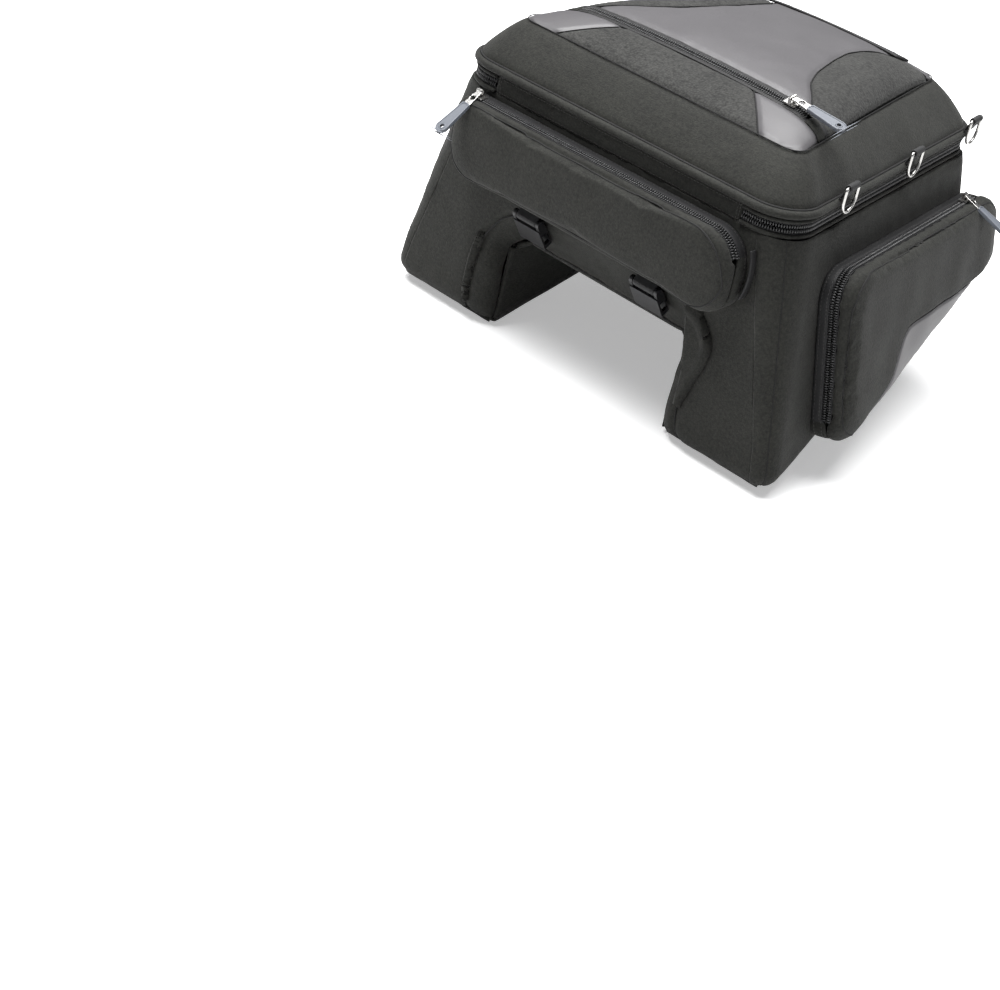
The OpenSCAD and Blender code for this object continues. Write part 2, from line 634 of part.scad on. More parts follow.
// A dished shell: rings of points from the rim to the flat middle, outside and inside
module dish(outer, inner) {
    m = len(outer[0]);
    rings = concat([for (k = [len(outer) - 1:-1:0]) outer[k]], inner);
    n = len(rings);
    walls = [for (i = [0:n - 2], j = [0:m - 1]) let(b = (j + 1) % m) each [
        [i * m + j, (i + 1) * m + b, (i + 1) * m + j], [i * m + j, i * m + b, (i + 1) * m + b]]];
    polyhedron([for (r = rings) each r],
        concat(walls, [[for (j = [m - 1:-1:0]) j], [for (j = [0:m - 1]) (n - 1) * m + j]]),
        convexity = 6);
}

// Padded cover: its face swells to depth, with corners rounder by soft
module pocket_shell(outline, depth, soft) {
    function ring(n, d, r) = [for (p = rounded([for (c = inset(outline, d)) [c[0], c[1], c[2] + r]]))
        [p[0], p[1], n]];
    rise = depth - face_n;
    dish([ring(face_n, 0, 0), ring(face_n + rise * 0.5, 0.9, soft * 0.15),
            ring(face_n + rise * 0.88, 4, soft * 0.6), ring(depth, 10, soft)],
        [ring(face_n, gusset_t - lap, 0), ring(face_n + rise * 0.45, 4.5, soft * 0.2),
            ring(depth - 3, 10, soft)]);
}
module cover_gusset(outline) {
    low = split_n + hinge_gap / 2;
    translate([0, 0, low]) linear_extrude(face_n + lap - low)
        difference() {
            strip(outline, 2 * seam, gusset_t);
            children();
        }
}

fp_x = fp_w / 2;
fp_top = fp_z0 + fp_h;
fp_outline = [[-fp_x, fp_z0, fp_r0], [fp_x, fp_z0, fp_r0], [fp_x, fp_top, fp_r1],
    [-fp_x, fp_top, fp_r2]];
module front_zone() {
    translate([-fp_x + fp_r2 - 1, fp_top - 20]) square([fp_w, 40]);
}
module at_front() {
    translate([0, y_front, 0]) rotate([90, 0, 0]) children();
}
module front_pocket_frame() {
    at_front() pocket_frame(fp_outline) front_zone();
}
module front_zip_body_tape() {
    at_front() pocket_tape(fp_outline, frame_n, frame_n + lip, fp_x - fp_r1) front_zone();
}
module front_zip_cover_tape() {
    at_front() pocket_tape(fp_outline, face_n - lip, split_n + half_gap, fp_x - fp_r1) front_zone();
}
module front_pocket_cover() {
    color(cloth) at_front() {
        pocket_shell(fp_outline, fp_d, 14);
        cover_gusset(fp_outline) front_zone();
    }
}

sp_outline = [[sp_front + 11, sp_low, 18], [sp_rear, sp_high, 16], [sp_rear - 6, sp_top - 4, 34],
    [sp_front, sp_top, 28]];
sp_zip_x = sp_rear - 40;              // rear end of the zip, on the top edge
sp_zip_low = -36;                     // lower end of the zip, on the front edge
sp_turn = sp_front + 31;              // where the zip's straight run meets the rounded corner
module side_zone() {
    translate([sp_front - 20, sp_top - 32]) square([sp_zip_x - sp_front + 20, 60]);
    translate([sp_front - 20, sp_zip_low]) square([40, sp_top - sp_zip_low]);
}

// Places its children on a side wall: X rearwards, Y up, Z outwards
module at_side(side) {
    mirror([side < 0 ? 1 : 0, 0, 0]) translate([half_w(0, 0), 0, 0]) rotate([0, 0, skew])
        rotate([0, -atan(flare * cos(skew)), 0]) rotate([90, 0, 90]) children();
}

// Smooth corner panel over the lower rear of the cover: its seam runs up from the lower edge
corner_seam = [[-100, -70], [-84, -52], [-72, -42], [-35, -20], [-24, -4], [-15, 10], [-6, 20],
    [8, 24.5]];
module corner_zone(d) {
    far = sp_rear + 20;
    translate([-d, d, face_n + 2 * lap + seam - d]) linear_extrude(sp_d)
        polygon(concat(corner_seam, [[far, 24.5], [far, -70]]));
}
module side_frame(side) {
    at_side(side) pocket_frame(sp_outline) side_zone();
}
module side_body_tape(side) {
    at_side(side) pocket_tape(sp_outline, frame_n, frame_n + lip, sp_turn) side_zone();
}
module side_cover_tape(side) {
    at_side(side) pocket_tape(sp_outline, face_n - lip, split_n + half_gap, sp_turn) side_zone();
}
module side_cover(side) {
    color(cloth) at_side(side) {
        difference() {
            pocket_shell(sp_outline, sp_d, 12);
            corner_zone(seam);
        }
        cover_gusset(sp_outline) side_zone();
    }
}
module side_corner(side) {
    color(vinyl) at_side(side) intersection() {
        pocket_shell(sp_outline, sp_d, 12);
        corner_zone(0);
    }
}

// ---------- sliders and pulls ----------

slider_l = 13;
slider_w = 9.2;
play = 0.6;                           // between a slider's plates and the coils
bail_z = 6.5;                         // height of the bail's bar over the coils
eye_w = 5.8;                          // width of a pull's eye, inside the bail

// Slider over a zip: X along the travel, Z out of the coils. The bail's bar lies along X
module slider(across = false) {
    neck_h = coil_t + 2 * play;
    color(nickel) {
        translate([0, 0, play]) linear_extrude(1.4) union() {
            translate([-slider_l / 2, -slider_w / 2 + 1.2]) square([slider_l, slider_w - 2.4]);
            translate([-slider_l / 2 + 1.2, -slider_w / 2]) square([slider_l - 2.4, slider_w]);
            for (a = [-1, 1], b = [-1, 1])
                translate([a * (slider_l / 2 - 1.2), b * (slider_w / 2 - 1.2)]) circle(1.2, $fn = 24);
        }
        translate([1, -neck_t / 2, -coil_t - play]) cube([3, neck_t, neck_h]);
        translate([-5.5, -4, -coil_t - play - 1.2]) cube([11, 8, 1.2]);
        rotate([0, 0, across ? 90 : 0]) {
            for (a = [-1, 1]) translate([a * (eye_w / 2 + 0.9) - 0.6, -1.3, play + 1.4])
                cube([1.2, 2.6, bail_z - play - 1.4]);
            for (a = [-1, 1]) translate([a * (eye_w / 2 + 0.9) - 0.6, 0, bail_z]) rotate([0, 90, 0])
                cylinder(h = 1.2, r = 1.3, $fn = 48);
            translate([-eye_w / 2 - 0.9, 0, bail_z]) rotate([0, 90, 0])
                cylinder(h = eye_w + 1.8, r = pin_r, $fn = 48);
        }
    }
}

// Pull: a metal link with a round window, and a rubber grip with a hole at its end. It hangs along
// -Y from its eye on the bail, lowered by the angle sink
grip_w = 8.8;
module pull(sink, across = false) {
    bore = pin_r + run_clear;
    color(nickel) rotate([0, 0, across ? 90 : 0]) translate([0, 0, bail_z]) rotate([sink, 0, 0])
        difference() {
            union() {
                translate([-eye_w / 2, 0, 0]) rotate([0, 90, 0]) cylinder(h = eye_w, r = bore + 1, $fn = 48);
                translate([0, 0, -0.8]) linear_extrude(1.6) polygon([[-eye_w / 2, -1], [-eye_w / 2, -5],
                    [-4, -8], [-4, -22], [4, -22], [4, -8], [eye_w / 2, -5], [eye_w / 2, -1]]);
                translate([0, 0, -1.6]) linear_extrude(3.2) union() {
                    translate([-grip_w / 2, grip_w / 2 - pull_l]) square([grip_w, pull_l - grip_w / 2 - 20]);
                    translate([0, grip_w / 2 - pull_l]) circle(grip_w / 2, $fn = 48);
                }
            }
            translate([-eye_w, 0, 0]) rotate([0, 90, 0]) cylinder(h = 2 * eye_w, r = bore, $fn = 48);
            translate([0, -10, -2]) cylinder(h = 4, r = 2, $fn = 32);
            translate([0, grip_w / 2 + 1 - pull_l, -2]) cylinder(h = 4, r = 1.8, $fn = 32);
        }
}

// How far the pulls hang below the plane of their zip
main_sink = -atan(rear_flare) - 3;
pocket_sink = 33;
map_sink = 3;

main_stop = 8;                        // the two main sliders meet at the middle of the rear
module at_main(side) {
    translate([side * main_stop, y_rear, split_z]) rotate([-90, 0, 0]) children();
}
module at_map() {
    x = map_reach - slider_l / 2 - 1;
    translate([x, zip_y, arc_z(x)]) rotate([0, asin(x / map_r), 0]) rotate([map_slope, 0, 0])
        children();
}
module at_front_zip() {
    at_front() translate([-fp_x + fp_r2 + slider_l / 2, fp_top + coil_out, split_n]) rotate([-90, 0, 0])
        children();
}
module at_side_zip(side) {
    lean = atan2(-4, sp_rear - 6 - sp_front);
    at_side(side) translate([sp_front, sp_top, split_n]) rotate([0, 0, lean])
        translate([sp_rear - 60 - sp_front, coil_out, 0]) rotate([-90, 0, 0]) children();
}

// ---------- strap buckles ----------

buckle_w = strap_w + 8;
buckle_t = 10;
buckle_l = 30;
bar_r = 2;
roll_r = 4.4;                         // radius of the webbing rolled round the bar
front_pivot = [y_front - 7, mouth_h - 5];
rear_pivot_z = 40;
rear_pivot = [rear_y(rear_pivot_z) + 7.5, rear_pivot_z];
front_lean = atan(mouth_d / mouth_h);
rear_lean = atan(rear_flare);

// Webbing rolled round the bar, with its tail sewn to the bag along the line to point q
module roll(pivot, q) {
    d = q - pivot;
    side = roll_r * 0.5 * [-d[1], d[0]] / norm(d);
    rotate([90, 0, 90]) translate([0, 0, -strap_w / 2]) linear_extrude(strap_w) difference() {
        union() {
            translate(pivot) circle(roll_r, $fn = 48);
            polygon([pivot - side * 1.6, q - side * 0.7, q + side * 0.7, pivot + side * 1.6]);
        }
        translate(pivot) circle(bar_r + run_clear, $fn = 48);
    }
}
module buckle_loops() {
    color(tape_black) for (x = [-buckle_x, buckle_x]) translate([x, 0, 0]) {
        roll(front_pivot, [y_front - 2, mouth_h + 3]);
        roll(rear_pivot, [rear_y(rear_pivot_z + 9) + 2, rear_pivot_z + 9]);
    }
}

// Female half of a side-release buckle, hanging from its bar along -Z
module socket() {
    ear = (buckle_w - strap_w) / 2 - 0.3;
    body_top = -roll_r - 0.8;
    rotate([90, 0, 0]) translate([0, 0, -buckle_t / 2]) difference() {
        linear_extrude(buckle_t) union() {
            translate([-buckle_w / 2, 1.5 - buckle_l]) square([buckle_w, buckle_l - 1.5 + body_top]);
            translate([-buckle_w / 2 + 1.5, -buckle_l]) square([buckle_w - 3, 4]);
            for (a = [-1, 1]) translate([a * (buckle_w / 2 - 1.5), 1.5 - buckle_l]) circle(1.5, $fn = 32);
        }
        translate([-buckle_w / 2 + 3, -buckle_l - 1, 2]) cube([buckle_w - 6, 21, buckle_t - 4]);
        for (a = [0, 1]) mirror([a, 0, 0]) translate([buckle_w / 2 - 4, 6 - buckle_l, 2])
            cube([8, 11, buckle_t - 4]);
    }
    for (a = [0, 1]) mirror([a, 0, 0]) {
        translate([buckle_w / 2 - ear, -buckle_t / 2 + 1, body_top]) cube([ear, buckle_t - 2, -body_top]);
        translate([buckle_w / 2 - ear, 0, 0]) rotate([0, 90, 0])
            cylinder(h = ear, r = buckle_t / 2 - 1, $fn = 48);
    }
    rotate([0, 90, 0]) translate([0, 0, -buckle_w / 2 + 1])
        cylinder(h = buckle_w - 2, r = bar_r, $fn = 48);
}
module front_buckle(side) {
    color(plastic) translate([side * buckle_x, front_pivot[0], front_pivot[1]])
        rotate([front_lean, 0, 0]) socket();
}
module rear_buckle(side) {
    color(plastic) translate([side * buckle_x, rear_pivot[0], rear_pivot[1]])
        rotate([rear_lean, 0, 0]) socket();
}

front_panel();
rear_panel();
side_panel(-1);  // left_side_panel
side_panel(1);  // right_side_panel
tunnel_mouth();
tunnel_walls();
base_panel();
base_board();
hinge_band();
main_zip_body_tape();
front_pocket_frame();
front_zip_body_tape();
front_pocket_cover();
front_zip_cover_tape();
side_frame(-1);  // left_pocket_frame
side_body_tape(-1);  // left_zip_body_tape
side_cover(-1);  // left_pocket_cover
side_cover_tape(-1);  // left_zip_cover_tape
side_corner(-1);  // left_pocket_corner
side_frame(1);  // right_pocket_frame
side_body_tape(1);  // right_zip_body_tape
side_cover(1);  // right_pocket_cover
side_cover_tape(1);  // right_zip_cover_tape
side_corner(1);  // right_pocket_corner
lid_side_panel();
lid_piping();
lid_front_strip();
lid_corner_patches();
lid_top_panel();
lid_leaf_panels();
lid_lining();
main_zip_lid_tape();
map_zip_tapes();
carry_handle();
ring_tabs();
d_ring(-1, 0);  // left_ring_front
d_ring(-1, 1);  // left_ring_middle
d_ring(-1, 2);  // left_ring_rear
d_ring(1, 0);  // right_ring_front
d_ring(1, 1);  // right_ring_middle
d_ring(1, 2);  // right_ring_rear
at_main(-1) slider();  // left_main_slider
at_main(-1) rotate([0, 0, 180]) pull(main_sink);  // left_main_pull
at_main(1) slider();  // right_main_slider
at_main(1) rotate([0, 0, 180]) pull(main_sink);  // right_main_pull
at_map() slider(true);  // map_slider
at_map() pull(map_sink, true);  // map_pull
at_front_zip() slider();  // front_slider
at_front_zip() pull(pocket_sink);  // front_pull
at_side_zip(-1) slider();  // left_slider
at_side_zip(-1) pull(pocket_sink);  // left_pull
at_side_zip(1) slider();  // right_slider
at_side_zip(1) pull(pocket_sink);  // right_pull
buckle_loops();
front_buckle(-1);  // front_left_buckle
front_buckle(1);  // front_right_buckle
rear_buckle(-1);  // rear_left_buckle
rear_buckle(1);  // rear_right_buckle
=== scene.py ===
import bpy, math
import numpy as np
from mathutils import Matrix, Vector, noise
from mathutils.bvhtree import BVHTree


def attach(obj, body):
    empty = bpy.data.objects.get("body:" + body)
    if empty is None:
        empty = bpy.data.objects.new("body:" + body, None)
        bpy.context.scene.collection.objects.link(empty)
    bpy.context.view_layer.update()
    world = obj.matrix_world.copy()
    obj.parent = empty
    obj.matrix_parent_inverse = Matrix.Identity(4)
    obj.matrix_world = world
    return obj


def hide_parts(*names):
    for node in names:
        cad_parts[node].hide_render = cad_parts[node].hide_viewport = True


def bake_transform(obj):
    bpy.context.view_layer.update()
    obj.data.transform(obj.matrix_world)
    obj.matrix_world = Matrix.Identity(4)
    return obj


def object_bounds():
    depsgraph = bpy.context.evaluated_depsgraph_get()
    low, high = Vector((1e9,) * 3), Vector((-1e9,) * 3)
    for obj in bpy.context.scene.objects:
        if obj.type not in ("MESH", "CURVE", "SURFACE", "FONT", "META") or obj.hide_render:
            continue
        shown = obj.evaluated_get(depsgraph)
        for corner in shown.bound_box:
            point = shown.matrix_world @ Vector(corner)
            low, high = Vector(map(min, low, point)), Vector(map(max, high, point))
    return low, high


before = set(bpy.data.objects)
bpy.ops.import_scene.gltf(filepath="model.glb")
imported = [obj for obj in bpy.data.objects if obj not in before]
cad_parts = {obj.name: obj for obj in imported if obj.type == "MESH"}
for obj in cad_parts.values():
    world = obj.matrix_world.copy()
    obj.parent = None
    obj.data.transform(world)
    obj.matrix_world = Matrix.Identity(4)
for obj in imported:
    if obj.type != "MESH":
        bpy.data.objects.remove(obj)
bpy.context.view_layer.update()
mm = 0.001

# sizes shared by the whole bag, in mm
rimWidth, rimLength, rimRadius, rimZ = 400, 372, 36, 162
taper, flare, rearFlare = 0.17, 0.19, 0.10
creaseUp, creaseIn, creaseRadius, domeUp = 38, 35, 14, 26
lobeDrop, lobeRadius, wallThick = 93, 18, 4
tunnelHalf, tunnelRadius, mouthHalf, mouthUp, mouthBack = 112, 16, 139, 48, 34
seamGap = 0.25
yFront, yRear = -rimLength / 2, rimLength / 2
bandTop, bandBottom = 154, 136
splitZ, bandHalf = 145, 147
coilWide, halfGap = 2.5, 0.8
skew = math.atan(taper)
creaseHalf = rimWidth / 2 - creaseIn
creaseY0, creaseY1 = yFront + creaseIn, yRear - creaseIn
creaseTaper = taper * 1.26
creaseZ = rimZ + creaseUp


def lerp(a, b, t):
    return a + (b - a) * t


def unit(v):
    return v / np.linalg.norm(v)


def units(v):
    # unit vectors for all the rows of an array
    return v / np.maximum(np.linalg.norm(v, axis=-1, keepdims=True), 1e-9)


def outOf(path, across):
    # the normals of a flat strip, from its line and the direction over its width
    return units(np.cross(np.gradient(path, axis=0), across))


# rounded outlines: a key is (corner, f), f 0 to 1 round the corner, 1 to 2 along the next side
def insetCorners(corners, d):
    out = []
    n = len(corners)
    for i in range(n):
        a, b, c = corners[i - 1], corners[i], corners[(i + 1) % n]
        ux, uy = b[0] - a[0], b[1] - a[1]
        vx, vy = c[0] - b[0], c[1] - b[1]
        lu, lv = math.hypot(ux, uy), math.hypot(vx, vy)
        ux, uy, vx, vy = ux / lu, uy / lu, vx / lv, vy / lv
        k = d / (1 + ux * vx + uy * vy)
        out.append((b[0] - k * (uy + vy), b[1] + k * (ux + vx), max(b[2] - d, 0.6)))
    return out


def cornerArc(corners, i):
    n = len(corners)
    a, b, c = corners[(i - 1) % n], corners[i % n], corners[(i + 1) % n]
    ux, uy = a[0] - b[0], a[1] - b[1]
    vx, vy = c[0] - b[0], c[1] - b[1]
    lu, lv = math.hypot(ux, uy), math.hypot(vx, vy)
    ux, uy, vx, vy = ux / lu, uy / lu, vx / lv, vy / lv
    half = math.acos(max(-1, min(1, ux * vx + uy * vy))) / 2
    sx, sy = ux + vx, uy + vy
    ls = math.hypot(sx, sy)
    r = b[2]
    mx, my = b[0] + sx / ls * r / math.sin(half), b[1] + sy / ls * r / math.sin(half)
    t = r / math.tan(half)
    return mx, my, r, math.atan2(b[1] + uy * t - my, b[0] + ux * t - mx), math.pi - 2 * half


def loopPoint(corners, key):
    i, f = key
    if f <= 1:
        mx, my, r, a0, turn = cornerArc(corners, i)
        return np.array((mx + r * math.cos(a0 + turn * f), my + r * math.sin(a0 + turn * f)))
    return lerp(loopPoint(corners, (i, 1)), loopPoint(corners, ((i + 1) % len(corners), 0)), f - 1)


def keysBetween(start, end, arcSteps=10, sideSteps=40, corners=4):
    a, b = start[0] * 2 + start[1], end[0] * 2 + end[1]
    if b <= a:
        b += corners * 2
    out = []
    t = a
    while t < b - 1e-6:
        out.append(((int(t // 2)) % corners, t % 2))
        step = 1 / arcSteps if t % 2 < 1 - 1e-6 else 1 / sideSteps
        nxt = math.floor(t + 1e-6) + 1
        t = min(t + step, nxt if nxt - t > 1e-6 else t + step, b)
    out.append(((int(b // 2)) % corners, b % 2))
    return out


def allKeys(arcSteps=10, sideSteps=40, corners=4):
    out = []
    for i in range(corners):
        out += [(i, k / arcSteps) for k in range(arcSteps)]
        out += [(i, 1 + k / sideSteps) for k in range(sideSteps)]
    return out


def curveThrough(points, t):
    # Catmull-Rom through a list of points, at the fractional index t
    p = np.asarray(points, float)
    i = int(min(max(math.floor(t), 0), len(p) - 2))
    f = t - i
    a, b, c, d = p[max(i - 1, 0)], p[i], p[i + 1], p[min(i + 2, len(p) - 1)]
    square, cube = 2 * a - 5 * b + 4 * c - d, 3 * b - a - 3 * c + d
    return 0.5 * (2 * b + (c - a) * f + square * f ** 2 + cube * f ** 3)


# body, lid and pocket forms
def halfWidth(y, z):
    return rimWidth / 2 + flare * (rimZ - z) - taper * (y - yFront)


def rearY(z):
    return yRear + rearFlare * (rimZ - z)


def lobeZ(y):
    return min(0, -lobeDrop * (1 - (y - yFront) / (rearY(0) - lobeRadius - yFront)))


def bodyOutline(z):
    r = lerp(rimRadius, lobeRadius, min(1, (rimZ - z) / (rimZ + lobeDrop / 2)))
    yr = rearY(z)
    return [(halfWidth(yFront, z), yFront, r), (halfWidth(yr, z), yr, r),
            (-halfWidth(yr, z), yr, r), (-halfWidth(yFront, z), yFront, r)]


def footZ(key):
    y = loopPoint(insetCorners(bodyOutline(0), lobeRadius), key)[1]
    return lobeZ(y) + lobeRadius


def wallPoint(key, s, z0):
    z = lerp(bandBottom, z0, s)
    p = loopPoint(bodyOutline(z), key)
    return np.array((p[0], p[1], z))


def edgePoint(key, a, z0):
    p = loopPoint(insetCorners(bodyOutline(z0), lobeRadius * (1 - math.cos(a))), key)
    return np.array((p[0], p[1], z0 - lobeRadius * math.sin(a)))


edgeTurns = [math.radians(a) for a in (15, 30, 45, 60, 75, 90)]


def wallColumn(key, steps):
    # from the hinge band's foot down the wall and round its lower edge
    z0 = footZ(key)
    down = [wallPoint(key, s / steps, z0) for s in range(steps + 1)]
    return down + [edgePoint(key, a, z0) for a in edgeTurns]


def rimOutline():
    x0, x1 = rimWidth / 2, rimWidth / 2 - taper * rimLength
    return [(x0, yFront, rimRadius), (x1, yRear, rimRadius),
            (-x1, yRear, rimRadius), (-x0, yFront, rimRadius)]


def sideX(y):
    return creaseHalf - creaseTaper * (y - creaseY0)


def creaseOutline():
    x0, x1, r = sideX(creaseY0), sideX(creaseY1), creaseRadius
    return [(x0, creaseY0, r), (x1, creaseY1, r), (-x1, creaseY1, r), (-x0, creaseY0, r)]


def arcX(y, mid):
    return (sideX(mid) - creaseRadius * math.sqrt(1 + creaseTaper ** 2)
            + math.sqrt(max(0, creaseRadius ** 2 - (y - mid) ** 2)))


def creaseX(y):
    turn = creaseRadius * math.sin(math.atan(creaseTaper))
    if y < creaseY0 + creaseRadius + turn:
        return arcX(y, creaseY0 + creaseRadius)
    if y > creaseY1 - creaseRadius + turn:
        return arcX(y, creaseY1 - creaseRadius)
    return sideX(y)


def topZ(x, y):
    u = abs(x) / sideX(y)
    v = abs(y - (creaseY0 + creaseY1) / 2) / ((creaseY1 - creaseY0) / 2)
    return creaseZ + domeUp * max(0, 1 - 0.22 * u ** 2 - 0.78 * u ** 10) * max(0, 1 - v ** 3.5)


lobeFrontZ = lobeZ(yFront + lobeRadius)
# the seam round the tunnel's mouth, from each lobe's foot up to the middle: (across, up)
mouthRight = [(mouthHalf, lobeFrontZ), (131, -56), (137, -28), (146, 0), (147, 19), (133, 36), (105, 46),
              (56, mouthUp), (0, mouthUp)]
mouthLeft = [(mouthHalf, lobeFrontZ), (138, -58), (137, -33), (132, -10), (123, 8), (108, 26), (86, 38),
             (52, 46), (0, mouthUp)]


def bothSides(left, right):
    return [(-x, z) for x, z in left] + right[-2::-1]


def frontIn(z):
    h = lobeFrontZ + lobeRadius - z
    return 0 if h <= 0 else lobeRadius - math.sqrt(max(0, lobeRadius ** 2 - h * h))


# mesh helpers
collection = bpy.context.scene.collection


def addMesh(name, verts, faces, material):
    name = name.replace(" ", "_")
    mesh = bpy.data.meshes.new(name)
    mesh.from_pydata((np.asarray(verts, float) * mm).tolist(), [], [tuple(int(i) for i in f) for f in faces])
    mesh.update()
    mesh.materials.append(material)
    for poly in mesh.polygons:
        poly.use_smooth = True
    piece = bpy.data.objects.new(name, mesh)
    collection.objects.link(piece)
    return piece


def gridNormals(grid, wrap=False):
    g = np.asarray(grid, float)
    du = np.roll(g, -1, 0) - np.roll(g, 1, 0) if wrap else np.gradient(g, axis=0)
    dv = np.gradient(g, axis=1)
    return units(np.cross(dv, du))


def edgeDistances(g, wrap=False):
    # how far each point is from the first and last column and the first and last row
    stepV = np.linalg.norm(np.diff(g, axis=1), axis=2)
    stepU = np.linalg.norm(np.diff(g, axis=0), axis=2)
    dv = np.concatenate([np.zeros((g.shape[0], 1)), np.cumsum(stepV, 1)], 1)
    du = np.concatenate([np.zeros((1, g.shape[1])), np.cumsum(stepU, 0)], 0)
    far = np.full(dv.shape, 1e6)
    return dv, dv[:, -1:] - dv, (far if wrap else du), (far if wrap else du[-1:] - du)


def noiseAt(points, scale, seed=0.0, stretch=(1, 1, 1)):
    p = np.asarray(points, float).reshape(-1, 3) * np.array(stretch) / scale + seed
    return np.array([noise.noise(q) for q in p.tolist()]).reshape(np.asarray(points).shape[:-1])


# seams that cross a panel, along a free curve or along one of its rows
curveSeam = dict(depth=2.0, width=4.5, pucker=0.5, fade=8, grain=12)
rowSeamSize = dict(depth=1.5, width=2.4)


def sewn(grid, valleys, swell=0.0, wrap=False, creases=0.0, seed=0.0, pucker=0.0, rowSeam=None, curve=None):
    # sinks the borders of a panel into their seams and puffs the cloth between them
    g = np.asarray(grid, float)
    n = gridNormals(g, wrap)
    push = np.zeros(g.shape[:2])
    if curve is not None:
        # a seam along a free curve, with small puckers beside it
        off = distanceTo(g.reshape(-1, 3), curve).reshape(g.shape[:2])
        wrinkled = noiseAt(g, curveSeam["grain"], seed + 5)
        push -= (curveSeam["depth"] * np.exp(-(off / curveSeam["width"]) ** 2)
                 + curveSeam["pucker"] * np.exp(-off / curveSeam["fade"]) * wrinkled)
    near = np.full(g.shape[:2], 1e6)
    distances = edgeDistances(g, wrap)
    if rowSeam is not None:
        off = np.abs(distances[2] - distances[2][rowSeam])
        push -= rowSeamSize["depth"] * np.exp(-(off / rowSeamSize["width"]) ** 2)
        near = np.minimum(near, off)
    for d, valley in zip(distances, valleys):
        if valley:
            depth, width = valley
            push -= depth * np.exp(-(d / width) ** 2)
            near = np.minimum(near, d)
    if swell:
        push += swell * (1 - np.exp(-near / 30))
    if pucker:
        push += pucker * np.exp(-near / 7) * noiseAt(g, 5.5, seed + 9)
    if creases:
        push += creases * (noiseAt(g, 46, seed) + 0.45 * noiseAt(g, 17, seed + 3))
    return g + n * push[..., None]


def shell(grid, thick, wrap=False):
    g = np.asarray(grid, float)
    rows, cols = g.shape[:2]
    inner = g - gridNormals(g, wrap) * thick
    verts = np.vstack([g.reshape(-1, 3), inner.reshape(-1, 3)])
    k = rows * cols
    faces = []
    last = rows if wrap else rows - 1
    for i in range(last):
        a0, a1 = i * cols, ((i + 1) % rows) * cols
        for j in range(cols - 1):
            faces.append((a0 + j, a1 + j, a1 + j + 1, a0 + j + 1))
            faces.append((k + a0 + j, k + a0 + j + 1, k + a1 + j + 1, k + a1 + j))
        faces.append((a0, k + a0, k + a1, a1))
        faces.append((a0 + cols - 1, a1 + cols - 1, k + a1 + cols - 1, k + a0 + cols - 1))
    if not wrap:
        for j in range(cols - 1):
            faces.append((j, j + 1, k + j + 1, k + j))
            b = (rows - 1) * cols
            faces.append((b + j, k + b + j, k + b + j + 1, b + j + 1))
    return verts, faces


def fineGrid(grid, wrap=False):
    # halves the spacing of a grid with cubic interpolation, along both of its directions
    def along(g, closed):
        nxt = np.roll(g, -1, 0) if closed else g[1:]
        here = g if closed else g[:-1]
        before = np.roll(g, 1, 0) if closed else np.concatenate([g[:1], g[:-2]])
        after = np.roll(g, -2, 0) if closed else np.concatenate([g[2:], g[-1:]])
        mid = (9 * (here + nxt) - before - after) / 16
        out = np.empty((2 * len(g) - (not closed),) + g.shape[1:])
        out[0::2], out[1::2] = g, mid
        return out

    g = along(np.asarray(grid, float), wrap)
    return along(g.swapaxes(0, 1), False).swapaxes(0, 1)


def stamped(frames, template, faces):
    # copies a small template into each frame: origins (n,3) and axes (n,3,3), one axis in each row
    origins, axes = frames
    t = np.asarray(template, float)
    verts = (origins[:, None, :] + np.einsum("mk,nkj->nmj", t, axes)).reshape(-1, 3)
    m = len(t)
    out = [tuple(k * m + i for i in f) for k in range(len(origins)) for f in faces]
    return verts, out


def joined(parts):
    verts, faces, base = [], [], 0
    for v, f in parts:
        verts.append(np.asarray(v, float))
        faces += [tuple(i + base for i in q) for q in f]
        base += len(v)
    return np.vstack(verts), faces


def spacedAlong(path, pitch, extra=None, start=0.0):
    # points at an even pitch along a line, with anything given per point carried along
    p = np.asarray(path, float)
    s = np.concatenate([[0], np.cumsum(np.linalg.norm(np.diff(p, axis=0), axis=1))])
    at = np.arange(start, s[-1], pitch)
    pick = lambda a: np.stack([np.interp(at, s, a[:, k]) for k in range(a.shape[1])], 1)
    q = pick(p)
    tangent = units(np.gradient(q, axis=0)) if len(q) > 1 else np.zeros_like(q)
    return q, tangent, (pick(np.asarray(extra, float)) if extra is not None else None)


def framesFor(q, tangent, out):
    out = units(out - tangent * np.sum(out * tangent, 1, keepdims=True))
    across = np.cross(out, tangent)
    return q, np.stack([tangent, across, out], 1)


def pill(length, wide, high, rings=4, around=6):
    # a capsule along its first axis
    verts, faces = [], []
    for i in range(rings + 1):
        a = math.pi * i / rings
        x = -math.cos(a) * length / 2
        r = math.sin(a) ** 0.6 if 0 < i < rings else 0.25
        for j in range(around):
            b = 2 * math.pi * j / around
            verts.append((x, r * wide / 2 * math.cos(b), r * high / 2 * math.sin(b)))
    for i in range(rings):
        for j in range(around):
            b = (j + 1) % around
            faces.append((i * around + j, (i + 1) * around + j, (i + 1) * around + b, i * around + b))
    faces.append(tuple(range(around)))
    faces.append(tuple(rings * around + j for j in range(around - 1, -1, -1)))
    return verts, faces


threadRuns = {}


def stitchLine(body, path, out, pitch=4.2, length=3.1, thick=0.75, sink=0.1):
    q, t, o = spacedAlong(path, pitch, out, pitch / 2)
    if len(q) < 2:
        return
    o = units(o)
    verts, faces = pill(length, thick, thick)
    threadRuns.setdefault(body, []).append(stamped(framesFor(q - o * sink, t, o), verts, faces))


